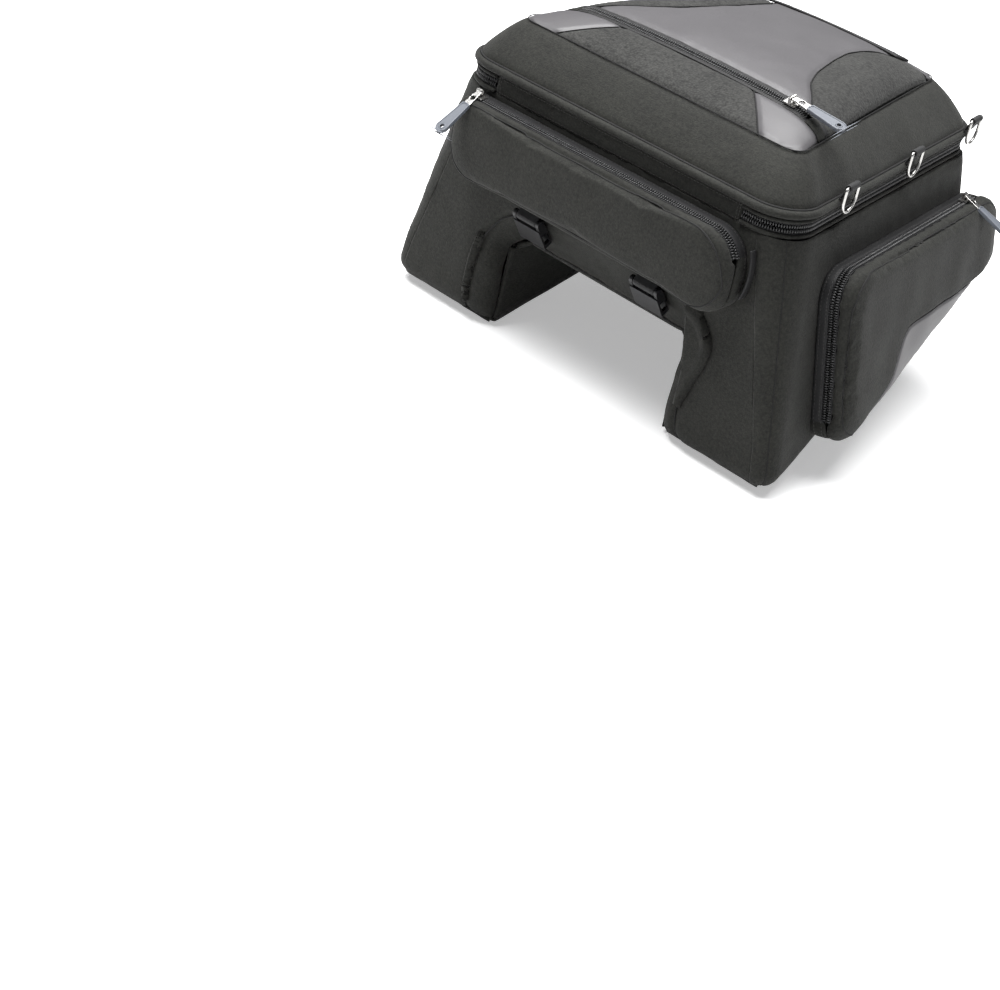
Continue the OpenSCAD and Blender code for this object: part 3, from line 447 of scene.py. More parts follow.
def edgeLine(grid, side, d):
    # the line at distance d from one side of a grid, with the surface normals along it
    g = np.asarray(grid, float)
    n = gridNormals(g)
    if side in ("right", "left"):
        g, n = g.swapaxes(0, 1), n.swapaxes(0, 1)
    if side in ("bottom", "right"):
        g, n = g[:, ::-1], n[:, ::-1]
    line, normals = [], []
    for row, rowNormals in zip(g, n):
        s = np.concatenate([[0], np.cumsum(np.linalg.norm(np.diff(row, axis=0), axis=1))])
        line.append([np.interp(d, s, row[:, k]) for k in range(3)])
        normals.append([np.interp(d, s, rowNormals[:, k]) for k in range(3)])
    return np.array(line), np.array(normals)


def bead(path, radius, around=10, closed=False):
    # a round cord along a line
    p = np.asarray(path, float)
    n = len(p)
    t = units((np.roll(p, -1, 0) - np.roll(p, 1, 0)) if closed else np.gradient(p, axis=0))
    up = np.zeros_like(p)
    ref = np.array((0.0, 0.0, 1.0)) if abs(t[0][2]) < 0.9 else np.array((1.0, 0.0, 0.0))
    for i in range(n):
        ref = ref - t[i] * (ref @ t[i])
        ref = ref / np.linalg.norm(ref)
        up[i] = ref
    side = np.cross(t, up)
    verts = []
    for i in range(n):
        for j in range(around):
            a = 2 * math.pi * j / around
            verts.append(p[i] + radius * (math.cos(a) * side[i] + math.sin(a) * up[i]))
    faces = []
    for i in range(n if closed else n - 1):
        b = (i + 1) % n
        for j in range(around):
            c = (j + 1) % around
            faces.append((i * around + j, i * around + c, b * around + c, b * around + j))
    if not closed:
        faces.append(tuple(range(around - 1, -1, -1)))
        faces.append(tuple((n - 1) * around + j for j in range(around)))
    return np.array(verts), faces


def distanceTo(points, line, closed=False):
    # shortest distance of points from a polyline, flat or in space
    a = np.asarray(line, float)
    b = np.roll(a, -1, 0) if closed else a[1:]
    a = a if closed else a[:-1]
    best = np.full(len(points), 1e9)
    for p0, p1 in zip(a, b):
        d = p1 - p0
        t = np.clip(((points - p0) @ d) / max(d @ d, 1e-9), 0, 1)
        best = np.minimum(best, np.linalg.norm(points - (p0 + t[:, None] * d), axis=1))
    return best


def insideOf(points, polygon):
    # which points lie inside a closed outline
    poly = np.asarray(polygon, float)
    inside = np.zeros(len(points), bool)
    for (x0, y0), (x1, y1) in zip(poly, np.roll(poly, -1, 0)):
        crosses = (y0 > points[:, 1]) != (y1 > points[:, 1])
        x = x0 + (points[:, 1] - y0) * (x1 - x0) / (y1 - y0 if y1 != y0 else 1e-9)
        inside ^= crosses & (points[:, 0] < x)
    return inside


# materials
class Wire:
    # a socket that can be written into arithmetic; every sum adds one Math node
    def __init__(self, tree, socket):
        self.tree, self.socket = tree, socket

    def math(self, operation, *values, clamp=False):
        step = self.tree.nodes.new("ShaderNodeMath")
        step.operation, step.use_clamp = operation, clamp
        for k, value in enumerate(values):
            if isinstance(value, Wire):
                self.tree.links.new(value.socket, step.inputs[k])
            else:
                step.inputs[k].default_value = value
        return Wire(self.tree, step.outputs[0])

    def __add__(self, other):
        return self.math("ADD", self, other)

    def __radd__(self, other):
        return self.math("ADD", other, self)

    def __sub__(self, other):
        return self.math("SUBTRACT", self, other)

    def __rsub__(self, other):
        return self.math("SUBTRACT", other, self)

    def __mul__(self, other):
        return self.math("MULTIPLY", self, other)

    def __rmul__(self, other):
        return self.math("MULTIPLY", other, self)

    def clamped(self):
        return self.math("ADD", self, 0.0, clamp=True)


class Nodes:
    def __init__(self, tree):
        self.tree = tree

    def node(self, kind, settings={}, output=0, **values):
        # any node, from its type, its settings and its sockets by name, or by number as i0, i1, i2
        made = self.tree.nodes.new("ShaderNode" + kind)
        for key, value in settings.items():
            setattr(made, key, value)
        for key, value in values.items():
            socket = made.inputs[int(key[1:]) if key[1:].isdigit() else key.replace("_", " ")]
            if isinstance(value, Wire):
                self.tree.links.new(value.socket, socket)
            else:
                socket.default_value = (*value, 1) if socket.type == "RGBA" else value
        return Wire(self.tree, made.outputs[output]) if made.outputs else None

    def mix(self, amount, a, b):
        return self.node("Mix", {"data_type": "RGBA"}, 2, i0=amount, i6=a, i7=b)


class Surface(Nodes):
    def __init__(self, name, **constants):
        self.material = bpy.data.materials.new(name)
        self.material.use_nodes = True
        super().__init__(self.material.node_tree)
        self.shader = self.tree.nodes["Principled BSDF"]
        for key, value in constants.items():
            socket = self.shader.inputs[key.replace("_", " ")]
            socket.default_value = (*value, 1) if socket.type == "RGBA" else value
        self.place = self.node("TexCoord", output=3)

    def feed(self, **wires):
        for key, value in wires.items():
            self.tree.links.new(value.socket, self.shader.inputs[key.replace("_", " ")])

    def bump(self, height, strength, distance):
        self.feed(Normal=self.node("Bump", Strength=strength, Distance=distance, Height=height))


def fabric(name, base, light, grain, strength, roughness, sheen, clump=0.5):
    made = Surface(name, Roughness=roughness, Sheen_Weight=sheen, Sheen_Roughness=0.5, Specular_IOR_Level=0.3)
    fine = made.node("TexNoise", Vector=made.place, Scale=grain, Detail=2.0, Roughness=0.6)
    cell = made.node("TexVoronoi", {"feature": "F1"}, Vector=made.place, Scale=grain * 0.8, Randomness=0.8)
    broad = made.node("TexNoise", Vector=made.place, Scale=22.0, Detail=3.0)
    coarse = made.node("TexNoise", Vector=made.place, Scale=grain * 0.42, Detail=2.0, Roughness=0.7)
    speck = ((fine * (1 - clump) + (1 - cell) * clump) * 1.7 - 0.38).clamped()
    patchy = (speck * 0.5 + (coarse * 2.4 - 0.95) * 0.55 + broad * 0.5 - 0.2).clamped()
    made.feed(Base_Color=made.mix(patchy, base, light))
    made.bump(speck, strength, 0.0005)
    return made.material


def smoothSkin(name, base, light, roughness):
    made = Surface(name, Specular_IOR_Level=0.45)
    cell = made.node("TexVoronoi", {"feature": "SMOOTH_F1"}, Vector=made.place, Scale=420.0)
    broad = made.node("TexNoise", Vector=made.place, Scale=14.0, Detail=4.0)
    made.feed(Base_Color=made.mix(broad, base, light),
              Roughness=(broad * 0.16 + (roughness - 0.08)).clamped())
    made.bump(cell, 0.25, 0.00025)
    return made.material


def ribbed(name, base, light, roughness):
    made = Surface(name, Specular_IOR_Level=0.35)
    fine = made.node("TexNoise", Vector=made.place, Scale=1500.0, Detail=1.0)
    cell = made.node("TexVoronoi", {"feature": "F1"}, Vector=made.place, Scale=900.0)
    made.feed(Base_Color=made.mix(fine, base, light), Roughness=(fine * 0.2 + roughness - 0.1).clamped())
    made.bump(cell * 0.6 + fine * 0.4, 0.5, 0.0002)
    return made.material


def polished(name, colour, roughness):
    made = Surface(name, Metallic=1.0)
    broad = made.node("TexNoise", Vector=made.place, Scale=260.0, Detail=4.0)
    made.feed(Base_Color=made.mix(broad, tuple(c * 0.82 for c in colour), colour),
              Roughness=(broad * 0.16 + roughness - 0.06).clamped())
    made.bump(broad, 0.08, 0.0001)
    return made.material


def moulded(name, colour, roughness):
    made = Surface(name, Specular_IOR_Level=0.45)
    fine = made.node("TexNoise", Vector=made.place, Scale=900.0, Detail=3.0)
    made.feed(Base_Color=made.mix(fine, tuple(c * 0.8 for c in colour), colour),
              Roughness=(fine * 0.2 + roughness - 0.1).clamped())
    made.bump(fine, 0.15, 0.0001)
    return made.material


cloth = fabric("cloth", (0.0040, 0.0041, 0.0032), (0.0225, 0.0228, 0.0186), 780.0, 0.5, 0.8, 0.05)
weave = fabric("weave", (0.008, 0.008, 0.0075), (0.044, 0.0438, 0.041), 560.0, 0.6, 0.82, 0.06, clump=0.75)
vinyl = smoothSkin("vinyl", (0.066, 0.0635, 0.0665), (0.081, 0.078, 0.0815), 0.44)
tapeBlack = ribbed("tape black", (0.006, 0.006, 0.0065), (0.017, 0.017, 0.018), 0.62)
coilBlack = moulded("coil black", (0.036, 0.036, 0.037), 0.27)
webbing = ribbed("webbing", (0.014, 0.014, 0.0145), (0.030, 0.030, 0.031), 0.7)
liningCloth = ribbed("lining", (0.012, 0.012, 0.013), (0.02, 0.02, 0.021), 0.8)
nickel = polished("nickel", (0.60, 0.59, 0.57), 0.26)
rubber = moulded("pull rubber", (0.115, 0.125, 0.145), 0.42)
plastic = moulded("plastic", (0.010, 0.010, 0.011), 0.36)
board = moulded("board", (0.012, 0.012, 0.012), 0.6)
thread = moulded("thread", (0.052, 0.051, 0.048), 0.6)
# painted seam shade: near-black cords laid in the seam grooves stand in for the shadow that falls there
paintedSeamShade = moulded("painted seam shade", (0.004, 0.004, 0.004), 0.8)


# body panels
def finished(name, grid, material, thick, body, nodeName, valleys, wrap=False, **sewing):
    shaped = sewn(fineGrid(grid, wrap), valleys, wrap=wrap, **sewing)
    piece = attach(addMesh(name, *shell(shaped, thick, wrap), material), body)
    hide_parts(nodeName)
    return shaped


panelThick = wallThick - 0.4
cornerSeamRow = 5


def sidePanel(side):
    grid = []
    for key in keysBetween((0, 0), (1, 0.5), 10, 62):
        column = wallColumn(key, 40)
        foot = column[-1].copy()
        inner = np.array((tunnelHalf + wallThick + seamGap, foot[1], foot[2]))
        column += [lerp(foot, inner, (k + 1) / 6) for k in range(6)]
        grid.append(column)
    grid = np.array(grid)
    if side < 0:
        grid[..., 0] *= -1
        grid = grid[::-1]
    return grid


for side, word in ((1, "right"), (-1, "left")):
    grid = sidePanel(side)
    row = cornerSeamRow if side > 0 else len(grid) - 1 - cornerSeamRow
    seamRow = 2 * row
    ends = (None, (1.5, 5))[::side]
    shaped = finished(word + " side panel", grid, cloth, panelThick, "bag", word + "_side_panel",
                      ((1.0, 6), None, *ends), creases=0.9, seed=side * 3.1, pucker=0.5, rowSeam=seamRow)
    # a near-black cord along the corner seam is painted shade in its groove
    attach(addMesh(word + " corner seam", *bead(shaped[seamRow][:-8], 0.55, 6), paintedSeamShade), "bag")

rearGrid = [wallColumn(key, 30) for key in keysBetween((1, 0.5), (2, 0.5), 10, 60)]
finished("rear panel", rearGrid, cloth, panelThick, "bag", "rear_panel",
         ((1.0, 6), (1.0, 5), (1.5, 5), (1.5, 5)), creases=0.7, seed=4.4, pucker=0.5)

# front panel, from the hinge band down to the lobes and the line of the tunnel's mouth
columnEdge = wallColumn((0, 0), 44)
footX = columnEdge[-1][0]
coarseFoot = [(k * footX, lobeFrontZ) for k in (1, 0.86, 0.72)]
footLine = bothSides(coarseFoot + mouthLeft, coarseFoot + mouthRight)
rows = len(footLine) - 1
footPoints = [curveThrough(footLine, i) for i in np.linspace(0, rows, 150)]
footCurve = np.array([(x, yFront + frontIn(z), z) for x, z in footPoints])
frontGrid = []
for i in np.linspace(0, rows, 145):
    fx, fz = curveThrough(footLine, i)
    column = []
    for point in columnEdge:
        down = (bandBottom - point[2]) / (bandBottom - columnEdge[-1][2])
        share = lerp(2 * i / rows - 1, fx / footX, down)
        z = lerp(bandBottom, fz, down)
        column.append((share * (point[0] - seamGap), yFront + frontIn(z), z))
    frontGrid.append(column)
finished("front panel", frontGrid, cloth, panelThick, "bag", "front_panel",
         ((1.0, 6), None, None, None), creases=1.0, seed=7.2, curve=footCurve)

# tunnel mouth: the cheeks and the strip above the tail roll in from the front panel
frontLine = bothSides(mouthLeft, mouthRight)
r = tunnelRadius
tunnelSide = [(tunnelHalf, lobeFrontZ), (tunnelHalf, lobeFrontZ * 0.62), (tunnelHalf, lobeFrontZ * 0.35),
              (tunnelHalf, -r), (tunnelHalf - r * 0.07, -r * 0.6), (tunnelHalf - r * 0.3, -r * 0.3),
              (tunnelHalf - r, 0), (tunnelHalf * 0.4, 0), (0, 0)]
tunnelLine = bothSides(tunnelSide, tunnelSide)
count = len(frontLine)
mouthGrid = []
for i in np.linspace(0, count - 1, 130):
    flat = min(1, max(0, ((count - 1) / 2 - abs(i - (count - 1) / 2) - 2) / 4))
    cx, cz = curveThrough(frontLine, i)
    cx -= seamGap * max(-1, min(1, cx / 20))
    cz -= seamGap * flat
    px, pz = curveThrough(tunnelLine, i)
    y1 = yFront + lerp(lobeRadius, mouthBack, flat)
    column = []
    for step in range(19):
        a = math.radians(step * 5)
        turn = math.sin(a)
        inward = lerp(1 - math.cos(a), turn, flat)
        column.append((lerp(cx, px, turn), lerp(yFront + frontIn(cz), y1, inward), lerp(cz, pz, turn)))
    mouthGrid.append(column)
finished("tunnel mouth", mouthGrid, cloth, panelThick, "bag", "tunnel_mouth",
         ((2.0, 5), (0.8, 4), (1.0, 4), (1.0, 4)), creases=1.7, seed=1.7)

# a near-black cord along the mouth's seam is painted shade in its groove
mouthCord = [curveThrough(frontLine, i) for i in np.linspace(0.2, count - 1.2, 160)]
mouthCord = np.array([(x, yFront + frontIn(z) + 1.3, z) for x, z in mouthCord])
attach(addMesh("mouth seam", *bead(mouthCord, 0.8, 8), paintedSeamShade), "bag")

# tunnel walls and the base that rests on the tail
nook = lambda y: min(tunnelRadius, -0.8 * lobeZ(y))
tunnelY0 = yFront + lobeRadius + seamGap
tunnelY1 = rearY(lobeRadius) - lobeRadius - seamGap
wallParts = []
for side in (1, -1):
    grid = []
    for q in np.linspace(0, 1, 60):
        column = []
        for k in np.linspace(0, 4, 22):
            back = lerp(lobeRadius, mouthBack, 1 - k / 4) - lobeRadius
            y = lerp(tunnelY0 + back, tunnelY1 - 8, q)
            r = nook(y)
            section = [(-r, seamGap), (-r * 0.3, -r * 0.3), (-r * 0.07, -r * 0.6), (0, -r), (0, lobeZ(y))]
            x, z = curveThrough(section, k)
            column.append((side * (tunnelHalf + x), y, min(z, seamGap)))
        grid.append(column)
    grid = np.array(grid)
    if side > 0:
        grid = grid[::-1]
    wallParts.append(grid)
walls = [shell(sewn(g, ((0.6, 4),) * 4, creases=0.6, seed=6), -panelThick) for g in wallParts]
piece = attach(addMesh("tunnel walls", *joined(walls), cloth), "bag")
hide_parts("tunnel_walls")

baseGrid = []
for y in np.linspace(tunnelY0 + mouthBack - lobeRadius, tunnelY1, 70):
    half = tunnelHalf - nook(min(y, tunnelY1 - 8)) - seamGap
    baseGrid.append([(x, y, 0.0) for x in np.linspace(-half, half, 50)])
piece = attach(addMesh("base panel", *shell(sewn(baseGrid, ((-0.8, 4),) * 4), 3.4), weave), "bag")
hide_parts("base_panel")
# a cord closes the base's rear edge
half = tunnelHalf - nook(tunnelY1 - 8)
baseEdge = [(x, tunnelY1 + seamGap / 2, 1.8) for x in np.linspace(-half, half, 60)]
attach(addMesh("base seam", *bead(baseEdge, 2.0), cloth), "bag")
print("body panels done")


# lid
lidBulge = 2.5


def lidWall():
    rim, top = rimOutline(), creaseOutline()
    grid = []
    for key in allKeys(10, 60):
        a, b = loopPoint(rim, key), loopPoint(top, key)
        out = unit(a - b)
        grid.append([(*(lerp(a, b, 1 - s) + out * lidBulge * math.sin(math.pi * (1 - s))),
                      lerp(rimZ, creaseZ, 1 - s)) for s in np.linspace(0, 1, 22)])
    return np.array(grid)


finished("lid bevel", lidWall(), cloth, 3.6, "lid", "lid_side_panel", ((1.3, 5), (1.2, 4), None, None),
         wrap=True, creases=0.7, seed=2.2, swell=0.6)

# rounded piping under the rim
piping = dict(tall=8, out=4.5, thick=2.2)
pipingHalf = (piping["tall"] - seamGap) / 2
grid = []
for key in allKeys(12, 80):
    column = []
    for a in np.linspace(96, -96, 17):
        a = math.radians(a)
        p = loopPoint(insetCorners(rimOutline(), -piping["out"] * math.cos(a)), key)
        column.append((p[0], p[1], bandTop + pipingHalf + pipingHalf * math.sin(a)))
    grid.append(column)
grid = np.array(grid)
grid = grid + gridNormals(grid, True) * (0.22 * noiseAt(grid, 9, 3.0))[..., None]
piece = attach(addMesh("lid piping", *shell(grid, piping["thick"], True), cloth), "lid")
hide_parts("lid_piping")

# padded top: the woven strip, the smooth patches beside it, the smooth waisted panel and the woven leaves
zipY = creaseY0 + 50
zipHalf = 8
topY0 = zipY + zipHalf
topLength = creaseY1 - topY0
edgeGap = 0.45
# the waisted panel's half width as a share of the top's, against the share of its length
waist = [[0, 0.835], [0.074, 0.773], [0.164, 0.667], [0.283, 0.595], [0.504, 0.531],
         [0.619, 0.524], [0.791, 0.594], [0.902, 0.797], [0.943, 0.902], [1.0, 0.95]]


def waistShare(s):
    i = max(k for k in range(len(waist) - 1) if waist[k][0] <= max(s, 0) or k == 0)
    t = (s - waist[i][0]) / (waist[i + 1][0] - waist[i][0])
    return float(curveThrough([w[1:] for w in waist], i + min(max(t, 0), 1))[0])


def leafX(y):
    s = (y - topY0) / topLength
    edge = creaseX(y)
    if s > 0.95:
        return edge - edgeGap
    inner = min(sideX(y) * waistShare(s), edge - 4)
    return lerp(inner, edge - edgeGap, max(0, (s - 0.9) / 0.05) ** 2) if s > 0.9 else inner


def stripX(y):
    return creaseHalf * lerp(0.727, 0.467, (y - creaseY0) / (50 - zipHalf))


def topGrid(ys, a, b, columns):
    return np.array([[(lerp(a(y), b(y), k), y, topZ(lerp(a(y), b(y), k), y)) for y in reversed(ys)]
                     for k in np.linspace(0, 1, columns)])


def topPanel(name, parts, material, nodeName, swell, seed, creases=0.35):
    made = []
    for ys, a, b, columns in parts:
        g = topGrid(list(ys), a, b, columns)
        g = fineGrid(g)
        g = sewn(g, ((1.5, 3.5),) * 4, swell, creases=creases, seed=seed, pucker=0.25)
        made.append(shell(g, 3.8))
    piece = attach(addMesh(name, *joined(made), material), "lid")
    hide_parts(nodeName)


def bothEdges(ys, inner, columns):
    # a panel on each side, from a line on the top out to the crease
    return [(ys, lambda y: inner(y) + seamGap, lambda y: creaseX(y) - edgeGap, columns),
            (ys, lambda y: edgeGap - creaseX(y), lambda y: -inner(y) - seamGap, columns)]


stripYs = np.linspace(creaseY0 + seamGap, zipY - zipHalf, 16)
topYs = np.linspace(topY0, creaseY1 - seamGap, 66)
leafYs = [y for y in topYs if y < topY0 + 0.948 * topLength]
topPanel("lid front strip", [(stripYs, lambda y: -stripX(y), stripX, 50)], weave, "lid_front_strip", 0.6, 1.0)
topPanel("lid corner patches", bothEdges(stripYs, stripX, 16), vinyl, "lid_corner_patches", 0.6, 2.0)
topPanel("lid top panel", [(topYs, lambda y: -leafX(y), leafX, 60)], vinyl, "lid_top_panel", 1.2, 3.0, 0.6)
topPanel("lid leaf panels", bothEdges(leafYs, leafX, 26), weave, "lid_leaf_panels", 1.5, 4.0, 0.5)

# the seams between the panels of the top, round the crease and under the rim show as thin dark lines:
# near-black cords in their grooves, which are painted shade
creaseCord = [(*loopPoint(creaseOutline(), k), creaseZ - 0.5) for k in allKeys(10, 50)]
seamCords = [bead(creaseCord, 0.55, 6, closed=True)]
for z, d in ((rimZ, 0.7), (bandTop, 0.5)):
    outline = insetCorners(rimOutline(), d)
    seamCords.append(bead([(*loopPoint(outline, k), z) for k in allKeys(12, 60)], 1.1, 6, closed=True))
for side in (-1, 1):
    for ys, line in ((leafYs, leafX), (stripYs, stripX)):
        seamCords.append(bead([(side * (line(y) + 0.12), y, topZ(line(y), y) - 0.9) for y in ys], 0.55, 6))
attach(addMesh("lid seams", *joined(seamCords), paintedSeamShade), "lid")

grid = []
for y in np.linspace(creaseY0 + 2, creaseY1 - 2, 50):
    half = creaseX(y) - edgeGap - 2
    row = []
    for k in np.linspace(-1, 1, 50):
        x = half * k
        swellHere = (topZ(x, y) - creaseZ) / domeUp
        row.append((x, y, creaseZ - 5 - seamGap + (domeUp - 7) * swellHere))
    grid.append(row)
lining = sewn(np.array(grid)[:, ::-1], (None,) * 4, creases=0.5, seed=8)
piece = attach(addMesh("lid lining", *shell(lining, 1.2), liningCloth), "lid")
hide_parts("lid_lining")
print("lid done")


# hinge band at the front between the lid and the bag; its upper stitches go with the lid and its lower
# stitches with the bag
hingeBand = dict(top=153.6, thick=2.6, hem=2.4, sideHems=(2.6, 5.2))
grid = []
for x in np.linspace(-bandHalf + seamGap, bandHalf - seamGap, 100):
    grid.append([(x, yFront, z) for z in np.linspace(hingeBand["top"], bandBottom, 12)])
band = sewn(np.array(grid), ((0.6, 3), (0.8, 3), (1.0, 3), (1.0, 3)), creases=0.5, seed=5, pucker=0.5)
bandPiece = addMesh("hinge band", *shell(band, hingeBand["thick"]), cloth)
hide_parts("hinge_band")
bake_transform(bandPiece)
for side, body in (("top", "lid"), ("bottom", "bag")):
    line, normals = edgeLine(band, side, hingeBand["hem"])
    stitchLine(body, line, normals, 3.6, 2.7, 0.6)
for side in ("left", "right"):
    for d in hingeBand["sideHems"]:
        line, normals = edgeLine(band, side, d)
        upper = line[:, 2] > splitZ
        for body, part in (("lid", upper), ("bag", ~upper)):
            stitchLine(body, line[part], normals[part], 3.2, 2.4, 0.6)


# zips
def tapeStrip(path, out, across, inset, thick, low, high):
    # a flat tape along a path: out points out of the zip, across points over it
    p, o, a = (np.asarray(v, float) for v in (path, out, across))
    g = np.stack([p - o * inset + a * lerp(high, low, k) for k in np.linspace(0, 1, 5)], 1)
    middle = len(g) // 2
    faces = np.sum(gridNormals(g)[middle, 2] * o[middle]) > 0
    return shell(g if faces else g[:, ::-1], thick)


coilMiddle = 2.2


def coilRow(path, out, across, start, pitch=2.4, wide=1.6, reach=4.3, high=2.9, sink=1.5):
    # one row of coil turns; each turn lies across the zip
    p, o, a = (np.asarray(v, float) for v in (path, out, across))
    q, t, both = spacedAlong(p, pitch, np.concatenate([o, a], 1), start)
    o, a = both[:, :3], both[:, 3:]
    verts, faces = pill(reach, wide, high, 4, 8)
    axes = np.stack([a, np.cross(o, a), o], 1)
    return stamped((q - o * sink, axes), verts, faces)


def rimPath(start, end, d=0.0):
    keys = keysBetween(start, end, 14, 110)
    rim = insetCorners(rimOutline(), d)
    larger = insetCorners(rimOutline(), d - 1)
    pts = np.array([(*loopPoint(rim, k), 0.0) for k in keys])
    wide = np.array([(*loopPoint(larger, k), 0.0) for k in keys])
    return pts, units(wide - pts)


pts, out = rimPath((0, 0), (3, 1))
# the zip starts and ends at the fabric hinge, a little way along the front
lead = np.array([(x, yFront, 0.0) for x in np.linspace(bandHalf, pts[0][0], 10)[:-1]])
tail = np.array([(x, yFront, 0.0) for x in np.linspace(pts[-1][0], -bandHalf, 10)[1:]])
face = np.array((0.0, -1.0, 0.0))
zipPath = np.vstack([lead, pts, tail])
zipOut = np.vstack([np.tile(face, (len(lead), 1)), out, np.tile(face, (len(tail), 1))])
zipUp = np.tile((0.0, 0.0, 1.0), (len(zipPath), 1))
for name, body, nodeName, sign in (("main zip body tape", "bag", "main_zip_body_tape", -1),
                                   ("main zip lid tape", "lid", "main_zip_lid_tape", 1)):
    level = zipPath + np.array((0, 0, splitZ))
    low, high = (bandBottom - splitZ, -halfGap - coilWide) if sign < 0 else (halfGap + coilWide, 8.7)
    strip = tapeStrip(level, zipOut, zipUp, 1.0, 1.4, low, high)
    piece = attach(addMesh(name, *strip, tapeBlack), body)
    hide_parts(nodeName)
    mid = level + np.array((0, 0, sign * coilMiddle))
    coil = coilRow(mid, zipOut, zipUp, 0.6 if sign < 0 else 1.6, sink=0.9)
    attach(addMesh(name + " coil", *coil, coilBlack), body)
    # the rolled edge of the cloth beside the coils
    edge = level + np.array((0, 0, sign * (6.7 if sign > 0 else 7.1))) - zipOut * (0.2 if sign > 0 else -0.1)
    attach(addMesh(name + " edge", *bead(edge, 1.9, 12), cloth), body)


# pockets
zipSplit, frameTop, faceBase = 15.5, 11.0, 20.0
frontCorners = [(-167, 57, 24), (167, 57, 24), (167, 132, 34), (-167, 132, 10)]
sideCorners = [(-117, -62, 18), (210, 30, 16), (204, 100, 34), (-128, 104, 28)]
sideLean = math.atan(flare * math.cos(skew))
atFront = Matrix.Translation((0, yFront, 0)) @ Matrix.Rotation(math.radians(90), 4, "X")


def atSide(side):
    m = (Matrix.Translation((halfWidth(0, 0), 0, 0)) @ Matrix.Rotation(skew, 4, "Z")
         @ Matrix.Rotation(-sideLean, 4, "Y") @ Matrix.Rotation(math.radians(90), 4, "Z")
         @ Matrix.Rotation(math.radians(90), 4, "X"))
    return (Matrix.Scale(-1, 4, (1, 0, 0)) @ m) if side < 0 else m


def placed(m, points):
    a = np.array(m)
    p = np.asarray(points, float)
    return p @ a[:3, :3].T + a[:3, 3]


def inFrontZone(p):
    return p[0] > -159 and p[1] > 112


def inSideZone(p):
    return (p[0] < 170 and p[1] > 72) or (p[0] < -108 and -36 < p[1] < 84)


def pocket(prefix, bodyPart, coverPart, m, corners, zone, depth, soft, names, flip):
    keys = allKeys(14, 70)
    ring = lambda d: np.array([loopPoint(insetCorners(corners, d), k) for k in keys])
    base = ring(0)
    outward = units(ring(-1) - base)
    open_ = np.array([1.0 if zone(p) else 0.0 for p in base])
    # soften the step between the zip's zone and the fold
    looped = np.concatenate([open_[-3:], open_, open_[:3]])
    ease = np.convolve(looped, [0.1, 0.2, 0.4, 0.2, 0.1], "same")[3:-3]
    flat = lambda pts2: np.concatenate([pts2, np.zeros((len(pts2), 1))], 1)
    turn = (lambda g: g[::-1]) if flip else (lambda g: g)

    def lathe(profile, thick, **sewing):
        # profile: (inset, height) along the outer face, from the top edge down
        # the height may vary round the pocket
        n = len(keys)
        columns = []
        for d, h in profile:
            raised = np.concatenate([np.zeros((n, 2)), (np.ones(n) * h)[:, None]], 1)
            columns.append(flat(base) - flat(outward) * d + raised)
        g = np.stack(columns, 1)
        g = turn(placed(m, g.reshape(-1, 3)).reshape(g.shape))
        g = sewn(g, sewing.pop("valleys", (None,) * 4), wrap=True, **sewing)
        return g, shell(g, thick, True)

    topOf = lerp(15.2, frameTop, ease)
    frameGrid, frameShell = lathe([(0.2, lerp(topOf, 0.6, k)) for k in np.linspace(0, 1, 9)], 2.2,
                                  valleys=((0.5, 2), (0.3, 2), None, None), creases=0.35,
                                  seed=len(prefix), pucker=0.3)
    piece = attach(addMesh(prefix + " pocket frame", *frameShell, cloth), bodyPart)
    piece.data.materials.append(tapeBlack)
    rowOf = [(i if not flip else len(keys) - 1 - i) for i in range(len(keys))]
    perRow = 2 * len(frameGrid[0])
    for poly in piece.data.polygons:
        poly.material_index = int(open_[rowOf[min(poly.index // perRow, len(keys) - 1)]])
    normals = gridNormals(frameGrid, True)
    for column in ((2, 6) if prefix != "front" else (6,)):
        stitchLine(bodyPart, np.vstack([frameGrid[:, column], frameGrid[:1, column]]),
                   np.vstack([normals[:, column], normals[:1, column]]), 3.6, 2.7, 0.6)
    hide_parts(names["frame"])

    # the zip's tapes and coils, over the part of the outline where it runs
    n = len(keys)
    start = next(i for i in range(n) if open_[i] and not open_[i - 1])
    run = [(start + k) % n for k in range(n)]
    run = [i for k, i in enumerate(run) if all(open_[j] for j in run[:k + 1])]
    path2, out2 = flat(base)[run], flat(outward)[run]
    dirs = lambda v: placed(m, v) - placed(m, np.zeros(3))
    for part, nodeName, sign in ((bodyPart, names["bodyTape"], -1), (coverPart, names["coverTape"], 1)):
        level = placed(m, path2 + np.array((0, 0, zipSplit)))
        out3, across = dirs(out2), dirs(np.tile((0.0, 0.0, 1.0), (len(run), 1)))
        low, high = (-4.6, -halfGap - coilWide + 0.6) if sign < 0 else (halfGap + coilWide - 0.6, 4.6)
        strip = tapeStrip(level, out3, across, 0.9, 1.3, low, high)
        half = " body" if sign < 0 else " cover"
        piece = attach(addMesh(prefix + half + " tape", *strip, tapeBlack), part)
        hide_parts(nodeName)
        coil = coilRow(level + across * sign * coilMiddle, out3, across, 0.6 if sign < 0 else 1.6, sink=0.6)
        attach(addMesh(prefix + half + " coil", *coil, coilBlack), part)

    return dict(keys=keys, m=m, base=base, ease=ease, corners=corners, depth=depth, soft=soft)


def evaluated(piece):
    graph = bpy.context.evaluated_depsgraph_get()
    return bpy.data.meshes.new_from_object(piece.evaluated_get(graph))


